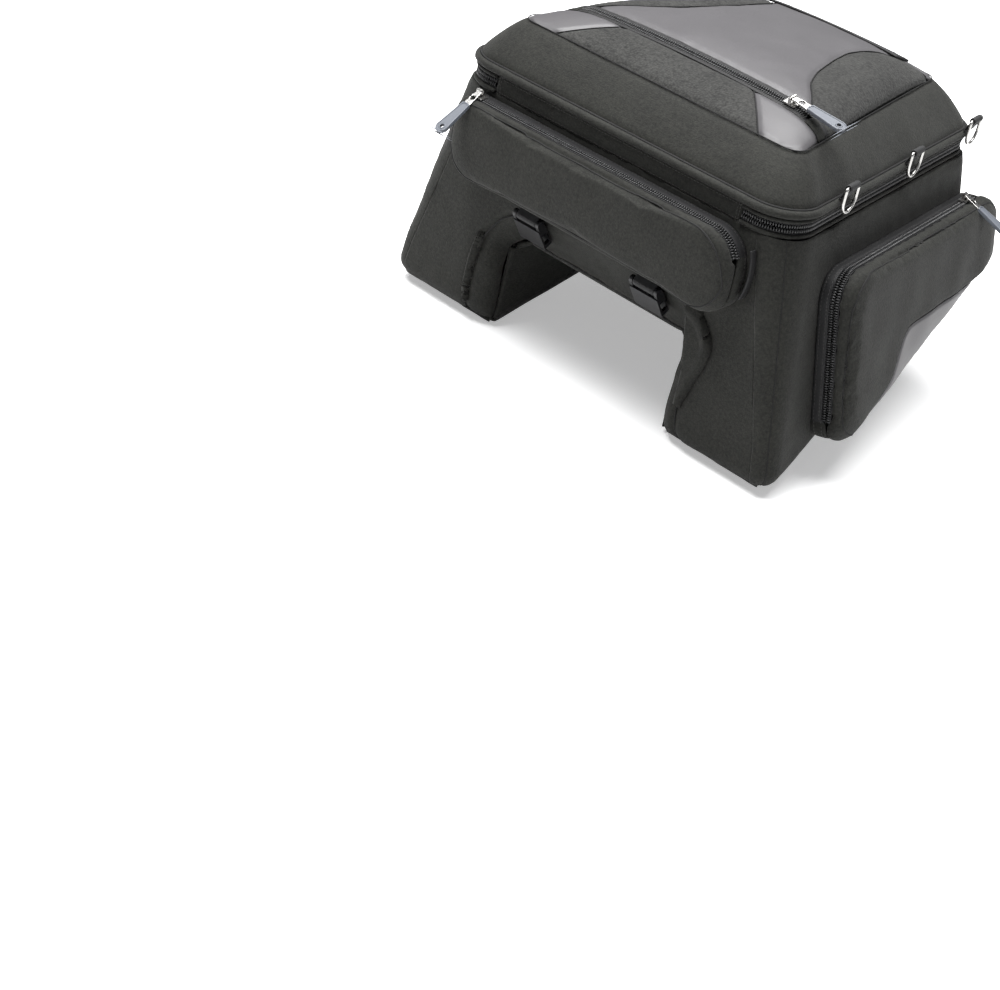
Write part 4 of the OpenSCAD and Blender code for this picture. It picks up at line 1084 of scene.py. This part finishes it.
def puffed(piece, cap, share, pressure=4.0, voxel=0.003, frames=20):
    # remeshes a closed pad and blows it up with cloth pressure
    # share says how much of the cap each point may use
    remesh = piece.modifiers.new("remesh", "REMESH")
    remesh.mode, remesh.voxel_size = "VOXEL", voxel
    mesh = evaluated(piece)
    piece.modifiers.clear()
    piece.data = mesh
    rest = np.array([v.co for v in mesh.vertices])
    pad = piece.modifiers.new("cloth", "CLOTH")
    pad.settings.use_pressure = True
    pad.settings.uniform_pressure_force = pressure
    pad.settings.effector_weights.gravity = 0
    pad.point_cache.frame_start, pad.point_cache.frame_end = 1, frames
    for f in range(1, frames + 1):
        bpy.context.scene.frame_set(f)
    blown = evaluated(piece)
    move = np.array([v.co for v in blown.vertices]) - rest
    far = np.linalg.norm(move, axis=1, keepdims=True)
    kept = np.minimum(1, cap * mm / np.maximum(far, 1e-9))
    blown.vertices.foreach_set("co", (rest + move * kept * share(rest / mm)[:, None]).ravel())
    bpy.context.scene.frame_set(1)
    piece.modifiers.clear()
    piece.data = blown
    soften = piece.modifiers.new("subdivision", "SUBSURF")
    soften.levels = soften.render_levels = 1
    mesh = evaluated(piece)
    piece.modifiers.clear()
    piece.data = mesh
    for poly in mesh.polygons:
        poly.use_smooth = True


# a cover from its zip to the middle of its face: (inset, share of the height, share of the softer corners)
coverProfile = [(0.3, 0.0, 0.0), (-0.5, 0.2, 0.0), (-0.9, 0.42, 0.1), (-0.5, 0.62, 0.3), (0.7, 0.78, 0.5),
                (2.6, 0.89, 0.65), (5.2, 0.96, 0.8), (9.5, 1.02, 0.95), (17, 1.07, 1.0), (26, 1.1, 1.0)]
edgeSeam = dict(inset=4.2, up=0.935, softness=0.75, depth=2.0, width=1.5)
puffLimit = 5.0


def cover(name, body, parts, replaced, corner=None):
    # the padded cover of a pocket: a band beside the zip, and a face that is sewn to it along the edge
    keys, m, corners, depth = parts["keys"], parts["m"], parts["corners"], parts["depth"]
    n = len(keys)
    low = lerp(15.9, faceBase - 0.6, parts["ease"])

    def rings(shrink, drop, profile):
        out = []
        for d, h, extra in profile:
            softer = [(x, y, r + parts["soft"] * extra) for x, y, r in insetCorners(corners, d + shrink)]
            loop = np.array([loopPoint(softer, k) for k in keys])
            out.append(np.concatenate([loop, (lerp(low, depth - 0.6, h) - drop)[:, None]], 1))
        return out

    outer = rings(0, 0, coverProfile)
    inner = rings(4.6, 4.6, coverProfile[2:8])
    inner[0][:, 2] = low
    loops = outer[::-1] + inner
    verts = np.vstack(loops)
    faces = []
    for i in range(len(loops) - 1):
        low0, low1 = i * n, (i + 1) * n
        faces += [(low0 + j, low1 + j, low1 + (j + 1) % n, low0 + (j + 1) % n) for j in range(n)]
    faces.append(tuple(range(n)))
    faces.append(tuple((len(loops) - 1) * n + j for j in range(n - 1, -1, -1)))
    piece = addMesh(name, placed(m, verts), faces, cloth)
    back = np.array(m.inverted())
    heights = lambda world: world @ back[2, :3] + back[2, 3]
    risen = lambda world: np.clip((heights(world) - faceBase + 1) / (depth - faceBase - 1), 0, 1)
    puffed(piece, puffLimit, risen)
    mesh = piece.data
    co = np.array([v.co for v in mesh.vertices]) / mm
    local = co @ back[:3, :3].T + back[:3, 3]
    flat2 = local[:, :2]
    edge = distanceTo(flat2, parts["base"][::2], True)
    edge = np.where(insideOf(flat2, parts["base"]), edge, -edge)
    front = np.clip((local[:, 2] - (depth - 7)) / 3, 0, 1)
    seamRing = rings(0, 0, [(edgeSeam["inset"], edgeSeam["up"], edgeSeam["softness"])])[0]
    near = distanceTo(local, seamRing[::2], True)
    normals = units(np.array([v.normal for v in mesh.vertices]) @ back[:3, :3].T)
    sink = edgeSeam["depth"] * (1 + 0.3 * noiseAt(local, 14, 5.0)) * np.exp(-(near / edgeSeam["width"]) ** 2)
    sink -= 0.3 * noiseAt(local, 11, 4.0) * np.exp(-near / 6)
    local -= normals * (sink * (local[:, 2] > low.min() + 2))[:, None]
    local[:, 2] += front * 1.3 * noiseAt(local, 42, 2.0 + n)
    zone = None
    if corner is not None:
        line = np.array([curveThrough(corner, t) for t in np.linspace(0, len(corner) - 1, 60)])
        zone = np.vstack([line, [(260, line[-1][1]), (260, -90), (line[0][0] - 4, -90)]])
        seam_ = distanceTo(flat2, line)
        local[:, 2] -= front * 1.3 * np.exp(-(seam_ / 1.6) ** 2)
    co = placed(m, local)
    mesh.vertices.foreach_set("co", (co * mm).ravel())
    mesh.materials.clear()
    mesh.materials.append(cloth)
    if zone is not None:
        mesh.materials.append(vinyl)
        centres = np.array([p.center for p in mesh.polygons]) / mm
        where = centres @ back[:3, :3].T + back[:3, 3]
        inside = insideOf(where[:, :2], zone) & (where[:, 2] > faceBase - 1)
        for poly, value in zip(mesh.polygons, inside):
            poly.material_index = int(value)
    mesh.update()
    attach(piece, body)
    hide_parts(*replaced)
    surface = BVHTree.FromPolygons([tuple(c) for c in co], [tuple(p.vertices) for p in mesh.polygons])
    outAxis = np.array(m)[:3, 2]

    def lay(points, lift):
        got = []
        for x, y in points:
            start = placed(m, [(x, y, depth + 30)])[0]
            hit = surface.ray_cast(Vector(start), Vector(-outAxis))[0]
            if hit is not None:
                got.append(np.array(hit) + outAxis * lift)
        return np.array(got)

    # a near-black cord along the face's edge seam is painted shade in the seam's groove
    cord = np.array([surface.find_nearest(Vector(point))[0] for point in placed(m, seamRing)])
    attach(addMesh(name + " edge seam", *bead(cord, 0.75, 8, closed=True), paintedSeamShade), body)
    if corner is not None:
        # a near-black cord along the corner's seam is painted shade in its groove
        path = lay(line, -0.1)
        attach(addMesh(name + " seam", *bead(path, 0.7, 6), paintedSeamShade), body)
        side = units(np.array([(-d[1], d[0]) for d in np.gradient(line, axis=0)]))
        path = lay(line + side * 2.6, 0.05)
        stitchLine(body, path, np.tile(outAxis, (len(path), 1)), 3.6, 2.7, 0.5)


def pocketNodes(word):
    return dict(frame=word + "_pocket_frame", bodyTape=word + "_zip_body_tape",
                coverTape=word + "_zip_cover_tape")


frontParts = pocket("front", "bag", "front_cover", atFront, frontCorners, inFrontZone, 28, 14,
                    pocketNodes("front"), False)
cover("front pocket cover", "front_cover", frontParts, ["front_pocket_cover"])
# the loose edge of the pocket's frame, which stands off the bag past its right end
flapLine = np.array([(170.5 + 4.5 * math.sin(math.pi * t) ** 0.7, lerp(122, 76, t), 0.4)
                     for t in np.linspace(0, 1, 40)])
flapAcross = np.tile((0.0, 0.0, 1.0), (40, 1))
axes = np.array(atFront)[:3, :3].T
flapOut = -outOf(flapLine, flapAcross)
flap = tapeStrip(placed(atFront, flapLine), flapOut @ axes, flapAcross @ axes, 0, 1.3, 0.2, 7.5)
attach(addMesh("front pocket flap", *flap, tapeBlack), "bag")
cornerSeam = [(-100, -72), (-84, -52), (-72, -42), (-35, -20), (-24, -4), (-15, 10), (-6, 20), (8, 24.5),
              (60, 25.5), (120, 25), (226, 24.5)]
for side, word in ((1, "right"), (-1, "left")):
    parts = pocket(word, "bag", word + "_cover", atSide(side), sideCorners, inSideZone, 31, 12,
                   pocketNodes(word), side < 0)
    cover(word + " pocket cover", word + "_cover", parts, [word + "_pocket_cover", word + "_pocket_corner"],
          cornerSeam)
print("pockets done")


# map zip across the top, along an arc
mapEnd = sideX(zipY) - 22
mapReach = mapEnd - 12
mapSlope = math.atan((topZ(0, zipY + zipHalf) - topZ(0, zipY - zipHalf)) / (2 * zipHalf))
mapRise = topZ(0, zipY)
mapDrop = mapRise - topZ(mapReach, zipY)
mapRadius = (mapReach ** 2 + mapDrop ** 2) / (2 * mapDrop)


def mapLine(x):
    return mapRise - mapRadius + math.sqrt(mapRadius ** 2 - x * x) if abs(x) < mapReach else topZ(x, zipY)


def mapTrack(end, count):
    path = np.array([(x, zipY, mapLine(x)) for x in np.linspace(-end, end, count)])
    across = np.tile((0.0, math.cos(mapSlope), math.sin(mapSlope)), (count, 1))
    return path, across, outOf(path, across)


mapPath, mapAcross, mapOut = mapTrack(mapEnd, 120)
tapePath, tapeAcross, tapeOut = mapTrack(creaseX(zipY) - 1.2, 160)
parts, coils = [], []
for sign in (-1, 1):
    low, high = sorted((sign * (halfGap + coilWide - 0.6), sign * (zipHalf - 0.3)))
    parts.append(tapeStrip(tapePath, tapeOut, tapeAcross, 0.9, 1.3, low, high))
    start = 0.6 if sign < 0 else 1.6
    coils.append(coilRow(mapPath + mapAcross * sign * coilMiddle, mapOut, mapAcross, start, sink=1.0))
    for d in (4.6, 6.6):
        stitchLine("lid", mapPath + mapAcross * sign * d - mapOut * 0.8, mapOut, 3.4, 2.5, 0.55)
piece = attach(addMesh("map zip tapes", *joined(parts), tapeBlack), "lid")
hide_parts("map_zip_tapes")
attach(addMesh("map zip coils", *joined(coils), coilBlack), "lid")
ends = []
for side in (-1, 1):
    grid = []
    for y in np.linspace(zipY - zipHalf + 0.2, zipY + zipHalf - 0.2, 14):
        xs = np.linspace(mapEnd + 2.5, creaseX(y) - 0.5, 20)[::side]
        grid.append([(side * x, y, topZ(x, y) + 0.1) for x in xs])
    grid = sewn(np.array(grid), ((0.8, 2),) * 4, swell=0.5)
    ends.append(shell(grid, 1.4 if gridNormals(grid)[7, 10, 2] > 0 else -1.4))
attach(addMesh("map zip ends", *joined(ends), cloth), "lid")


# webbing
def ribbon(path, across, out, width, thick, ribs=7, depth=0.18):
    # a strip of webbing with rounded edges and fine lengthwise ribs
    p, a, o = (np.asarray(v, float) for v in (path, across, out))
    around = []
    steps = 26
    for k in range(steps + 1):
        x = -1 + 2 * k / steps
        edge = max(0.0, (abs(x) - 0.86) / 0.14)
        rib = depth * (0.5 + 0.5 * math.cos(x * ribs * math.pi)) * (1 - edge)
        around.append((x * width / 2, thick / 2 * math.sqrt(max(0, 1 - edge ** 2)) - rib))
    loop = around + [(x, -z) for x, z in around[-2:0:-1]]
    verts = np.array([[q + b * x + c * z for x, z in loop] for q, b, c in zip(p, a, o)])
    m, n = len(loop), len(p)
    faces = [(i * m + j, i * m + (j + 1) % m, (i + 1) * m + (j + 1) % m, (i + 1) * m + j)
             for i in range(n - 1) for j in range(m)]
    faces += [tuple(range(m - 1, -1, -1)), tuple((n - 1) * m + j for j in range(m))]
    return verts.reshape(-1, 3), faces


handle = dict(half=78, fromRear=30, wide=25, thick=2.6)
handleX, handleY = handle["half"], creaseY1 - handle["fromRear"]
path = []
for x in np.linspace(-handleX, handleX, 70):
    path.append((x, handleY, topZ(x, handleY) + 0.3 * (1 - (abs(x) / handleX) ** 2) ** 0.7 + 1.2))
path = np.array(path)
slopes = [topZ(x, handleY + 8) - topZ(x, handleY - 8) for x in path[:, 0]]
across = np.array([unit(np.array((0.0, 16.0, slope))) for slope in slopes])
out = outOf(path, across)
strip = ribbon(path, across, out, handle["wide"], handle["thick"])
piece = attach(addMesh("carry handle", *strip, webbing), "lid")
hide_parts("carry_handle")
for end in (0, -1):
    for inset in (4, 16):
        i = int(np.argmin(abs(path[:, 0] - (path[end][0] + (inset if end == 0 else -inset)))))
        line = path[i] + across[i] * np.linspace(-10.5, 10.5, 12)[:, None] + out[i] * 1.35
        stitchLine("lid", line, np.tile(out[i], (12, 1)), 3.2, 2.4, 0.55)

# the ring tabs: where each ring's bar lies off the rim, and the webbing round it
tab = dict(out=8.0, up=12, bend=2.5, wide=19, thick=1.6, spacing=132, middle=30)
tabs = []
for side in (-1, 1):
    for k in range(3):
        y = tab["middle"] + (k - 1) * tab["spacing"]
        place = Matrix.Translation((halfWidth(y, rimZ), y, rimZ)) @ Matrix.Rotation(skew, 4, "Z")
        if side < 0:
            place = Matrix.Scale(-1, 4, (1, 0, 0)) @ place
        # up from the rim, round the ring and back down behind itself
        line = [(2.2, 0.4), (3.4, 3.2), (5.2, 7.2), (6.6, 9.2)]
        for a in np.linspace(215, -75, 16):
            a = math.radians(a)
            line.append((tab["out"] + tab["bend"] * math.cos(a), tab["up"] + tab["bend"] * math.sin(a)))
        line += [(8.4, 8.2), (6.9, 5.4), (5.0, 2.2), (4.2, 0.4)]
        fine = np.array([curveThrough(line, t) for t in np.linspace(0, len(line) - 1, 70)])
        p = np.stack([fine[:, 0], np.zeros(len(fine)), fine[:, 1]], 1)
        across = np.tile((0.0, 1.0, 0.0), (len(p), 1))
        verts, faces = ribbon(p, across, outOf(p, across), tab["wide"], tab["thick"], depth=0.12)
        tabs.append((placed(place, verts), faces if side > 0 else [f[::-1] for f in faces]))
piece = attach(addMesh("ring tabs", *joined(tabs), webbing), "lid")
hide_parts("ring_tabs")

strap = dict(wide=25, thick=1.9, roll=4.4, bar=2, apart=73)
frontPivot, rearPivot = (yFront - 7, mouthUp - 5), (rearY(40) + 7.5, 40)
loops = []
for x in (-strap["apart"], strap["apart"]):
    for (py, pz), (qy, qz) in ((frontPivot, (yFront - 1.6, mouthUp + 4)), (rearPivot, (rearY(49) + 1.6, 50))):
        d = unit(np.array((qy - py, qz - pz)))
        n = np.array((-d[1], d[0]))
        r = (strap["roll"] + strap["bar"]) / 2 + 0.2
        start = math.atan2(n[1], n[0])
        pivot, tail = np.array((py, pz)), np.array((qy, qz))
        middle = tail * 0.5 + pivot * 0.5
        turns = start + np.linspace(0.1, math.pi - 0.1, 14)
        line = [tail + n * 1.0, middle + n * 2.0]
        line += [pivot + r * np.array((math.cos(a), math.sin(a))) for a in turns]
        line += [middle - n * 2.0, tail - n * 1.0]
        fine = np.array([curveThrough(line, t) for t in np.linspace(0, len(line) - 1, 60)])
        p = np.stack([np.full(len(fine), x), fine[:, 0], fine[:, 1]], 1)
        across = np.tile((1.0, 0.0, 0.0), (len(p), 1))
        loops.append(ribbon(p, across, outOf(p, across), strap["wide"], strap["thick"], depth=0.15))
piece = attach(addMesh("strap loops", *joined(loops), webbing), "bag")
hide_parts("buckle_loops")
print("webbing done")


# pulls: a nickel link with a window, and a rubber grip with a hole
def plate(outline, holes, thick, bevel):
    # a flat part from closed outlines, with rounded edges
    curve = bpy.data.curves.new("plate", "CURVE")
    curve.dimensions, curve.fill_mode = "2D", "BOTH"
    curve.extrude, curve.bevel_depth = (thick / 2 - bevel) * mm, bevel * mm
    curve.bevel_resolution = 3
    curve.offset = -bevel * mm
    for loop in [outline] + holes:
        spline = curve.splines.new("POLY")
        spline.points.add(len(loop) - 1)
        for point, (x, y) in zip(spline.points, loop):
            point.co = (x * mm, y * mm, 0, 1)
        spline.use_cyclic_u = True
    made = bpy.data.objects.new("plate", curve)
    collection.objects.link(made)
    mesh = evaluated(made)
    verts = np.array([v.co for v in mesh.vertices]) / mm
    faces = [tuple(p.vertices) for p in mesh.polygons]
    bpy.data.objects.remove(made)
    bpy.data.meshes.remove(mesh)
    return verts, faces


def roundedPoly(corners, arc=8):
    return [tuple(loopPoint(corners, (i, f))) for i in range(len(corners))
            for f in np.linspace(0, 1, arc + 1)]


def circlePoints(x, y, r, n=28):
    return [(x + r * math.cos(2 * math.pi * k / n), y + r * math.sin(2 * math.pi * k / n)) for k in range(n)]


pinRadius, eyeWide, bailUp, pullLong = 1.0, 5.8, 6.5, 58
linkOutline = roundedPoly([(-eyeWide / 2, -1.4, 0.5), (-4.1, -22, 0.6),
                           (4.1, -22, 0.6), (eyeWide / 2, -1.4, 0.5)])
linkVerts, linkFaces = plate(linkOutline, [circlePoints(0, -10.5, 2.7)], 1.7, 0.45)
eye = []
n = 28
for x in (-eyeWide / 2, eyeWide / 2):
    for r in (pinRadius + 0.12, pinRadius + 1.0):
        eye.append([(x, y, z) for y, z in circlePoints(0, 0, r, n)])
eyeVerts = np.array(eye).reshape(-1, 3)
eyeFaces = []
for k in range(n):
    b = (k + 1) % n
    inner0, outer0, inner1, outer1 = 0, n, 2 * n, 3 * n
    eyeFaces += [(inner0 + k, inner0 + b, inner1 + b, inner1 + k),
                 (outer0 + k, outer1 + k, outer1 + b, outer0 + b),
                 (inner0 + k, outer0 + k, outer0 + b, inner0 + b),
                 (inner1 + k, inner1 + b, outer1 + b, outer1 + k)]
linkVerts, linkFaces = joined([(linkVerts, linkFaces), (eyeVerts, eyeFaces)])
# the grip widens to its round end, and its face is sunk inside a raised edge
grip = dict(topHalf=4.4, endHalf=6.8, start=-18.5, topRound=2.4, endRound=6.4, hole=2.0)


def gripEdge(d):
    wide, narrow, end = grip["endHalf"], grip["topHalf"], grip["endRound"] - d
    start, top = grip["start"] - d, grip["topRound"]
    return roundedPoly([(-narrow + d, start, top), (-wide + d, -pullLong + d, end),
                        (wide - d, -pullLong + d, end), (narrow - d, start, top)], 12)


gripMiddle = grip["endRound"] - pullLong
gripHole = circlePoints(0, gripMiddle, grip["hole"])
gripParts = [plate(gripEdge(0), [gripEdge(1.5)], 3.8, 0.7), plate(gripEdge(0.8), [gripHole], 2.6, 0.3),
             plate(circlePoints(0, gripMiddle, 3.4), [gripHole], 3.6, 0.5)]
gripVerts, gripFaces = joined(gripParts)

turnX = lambda a: Matrix.Rotation(a, 4, "X")
turnZ = lambda a: Matrix.Rotation(a, 4, "Z")
mainSink, pocketSink, mapSink = -math.atan(rearFlare) - math.radians(3), math.radians(33), math.radians(3)
sliderHalf, overEdge, mainApart, sideAlong = 6.5, 0.4, 8, 278
layDown = turnX(math.radians(-90))
mapX = mapReach - sliderHalf - 1
mapTurn = Matrix.Rotation(math.asin(mapX / mapRadius), 4, "Y") @ turnX(mapSlope)
mapPlace = Matrix.Translation((mapX, zipY, mapLine(mapX))) @ mapTurn
frontX, frontY, frontR = frontCorners[3]
frontStart = (frontX + frontR + sliderHalf, frontY + overEdge, zipSplit)
frontPlace = atFront @ Matrix.Translation(frontStart) @ layDown
(endX, endY, _), (startX, startY, _) = sideCorners[2:]
sideLine = math.atan2(endY - startY, endX - startX)


def mainPlace(side):
    return Matrix.Translation((side * mainApart, yRear, splitZ)) @ layDown @ turnZ(math.pi)


def sidePlace(side):
    corner = atSide(side) @ Matrix.Translation((startX, startY, zipSplit)) @ turnZ(sideLine)
    return corner @ Matrix.Translation((sideAlong, overEdge, 0)) @ layDown


pulls = {"left_main": (mainPlace(-1), mainSink, False), "right_main": (mainPlace(1), mainSink, False),
         "map": (mapPlace, mapSink, True), "front": (frontPlace, pocketSink, False),
         "left": (sidePlace(-1), pocketSink, False), "right": (sidePlace(1), pocketSink, False)}
for name, (place, sink, across) in pulls.items():
    quarter = turnZ(math.radians(90)) if across else Matrix()
    place = place @ quarter @ Matrix.Translation((0, 0, bailUp)) @ turnX(sink)
    body = name + "_pull"
    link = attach(addMesh(name + " pull link", placed(place, linkVerts), linkFaces, nickel), body)
    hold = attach(addMesh(name + " pull grip", placed(place, gripVerts), gripFaces, rubber), body)
    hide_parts(body)
    for made in (link, hold):
        made.data.shade_smooth()
        made.modifiers.new("edges", "EDGE_SPLIT").split_angle = math.radians(50)
print("pulls done")


# sewing threads
for body, runs in threadRuns.items():
    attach(addMesh("stitches " + body, *joined(runs), thread), body)

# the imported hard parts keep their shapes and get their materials
looks = {"board": board, "slider": nickel, "ring": nickel, "buckle": plastic}
for name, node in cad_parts.items():
    for word, look in looks.items():
        if word in name:
            node.data.materials.clear()
            node.data.materials.append(look)

# floor, light and camera
scene = bpy.context.scene
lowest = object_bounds()[0][2]
bpy.ops.mesh.primitive_plane_add(size=14, location=(0, 0, lowest))
floor = bpy.context.object
floor.name = "floor"
pale = Surface("floor paper", Base_Color=(0.86, 0.86, 0.86), Roughness=0.85, Specular_IOR_Level=0.1,
               Emission_Strength=0.4)
pale.feed(Emission_Color=pale.mix(pale.node("LightPath"), (0, 0, 0), (1, 1, 1)))
floor.data.materials.append(pale.material)

world = bpy.data.worlds.new("studio")
scene.world = world
world.use_nodes = True
world.node_tree.nodes.clear()
# the camera sees white, and the bag is lit by a dim cool sky
sky = Nodes(world.node_tree)
lit = sky.node("Background", Color=(0.93, 0.95, 1.0), Strength=0.17)
seen = sky.node("Background", Color=(1, 1, 1), Strength=1.0)
sky.node("OutputWorld", Surface=sky.node("MixShader", i0=sky.node("LightPath"), i1=lit, i2=seen))


def softbox(name, place, aim, size, power):
    light = bpy.data.lights.new(name, "AREA")
    light.shape, light.size, light.size_y = "RECTANGLE", size[0], size[1]
    light.energy = power
    lamp = bpy.data.objects.new(name, light)
    collection.objects.link(lamp)
    lamp.location = place
    lamp.rotation_euler = (Vector(aim) - Vector(place)).to_track_quat("-Z", "Y").to_euler()


softbox("key", (-0.75, -0.95, 2.7), (0, 0, 0.1), (1.6, 1.2), 110)
softbox("top", (-0.1, 0.4, 2.4), (0, 0, 0.1), (2.0, 2.0), 118)
softbox("side", (2.4, -0.6, 1.1), (0, 0, 0.05), (1.0, 1.2), 3)

azimuth, elevation, roll = (math.radians(a) for a in (38.42, 31.43, 11.78))
flatBack = math.cos(elevation)
back = Vector((math.sin(azimuth) * flatBack, -math.cos(azimuth) * flatBack, math.sin(elevation)))
right = Vector((math.cos(azimuth), math.sin(azimuth), 0))
above = back.cross(right)
right2 = right * math.cos(roll) + above * math.sin(roll)
above2 = above * math.cos(roll) - right * math.sin(roll)
lens = bpy.data.cameras.new("camera")
lens.lens, lens.sensor_width, lens.sensor_fit = 73.18, 36, "HORIZONTAL"
lens.clip_start, lens.clip_end = 0.05, 50
camera = bpy.data.objects.new("camera", lens)
collection.objects.link(camera)
camera.matrix_world = Matrix(((right2.x, above2.x, back.x, 1.02196), (right2.y, above2.y, back.y, -1.53101),
                              (right2.z, above2.z, back.z, 0.80162), (0, 0, 0, 1)))
scene.camera = camera
scene.view_settings.view_transform = "Standard"
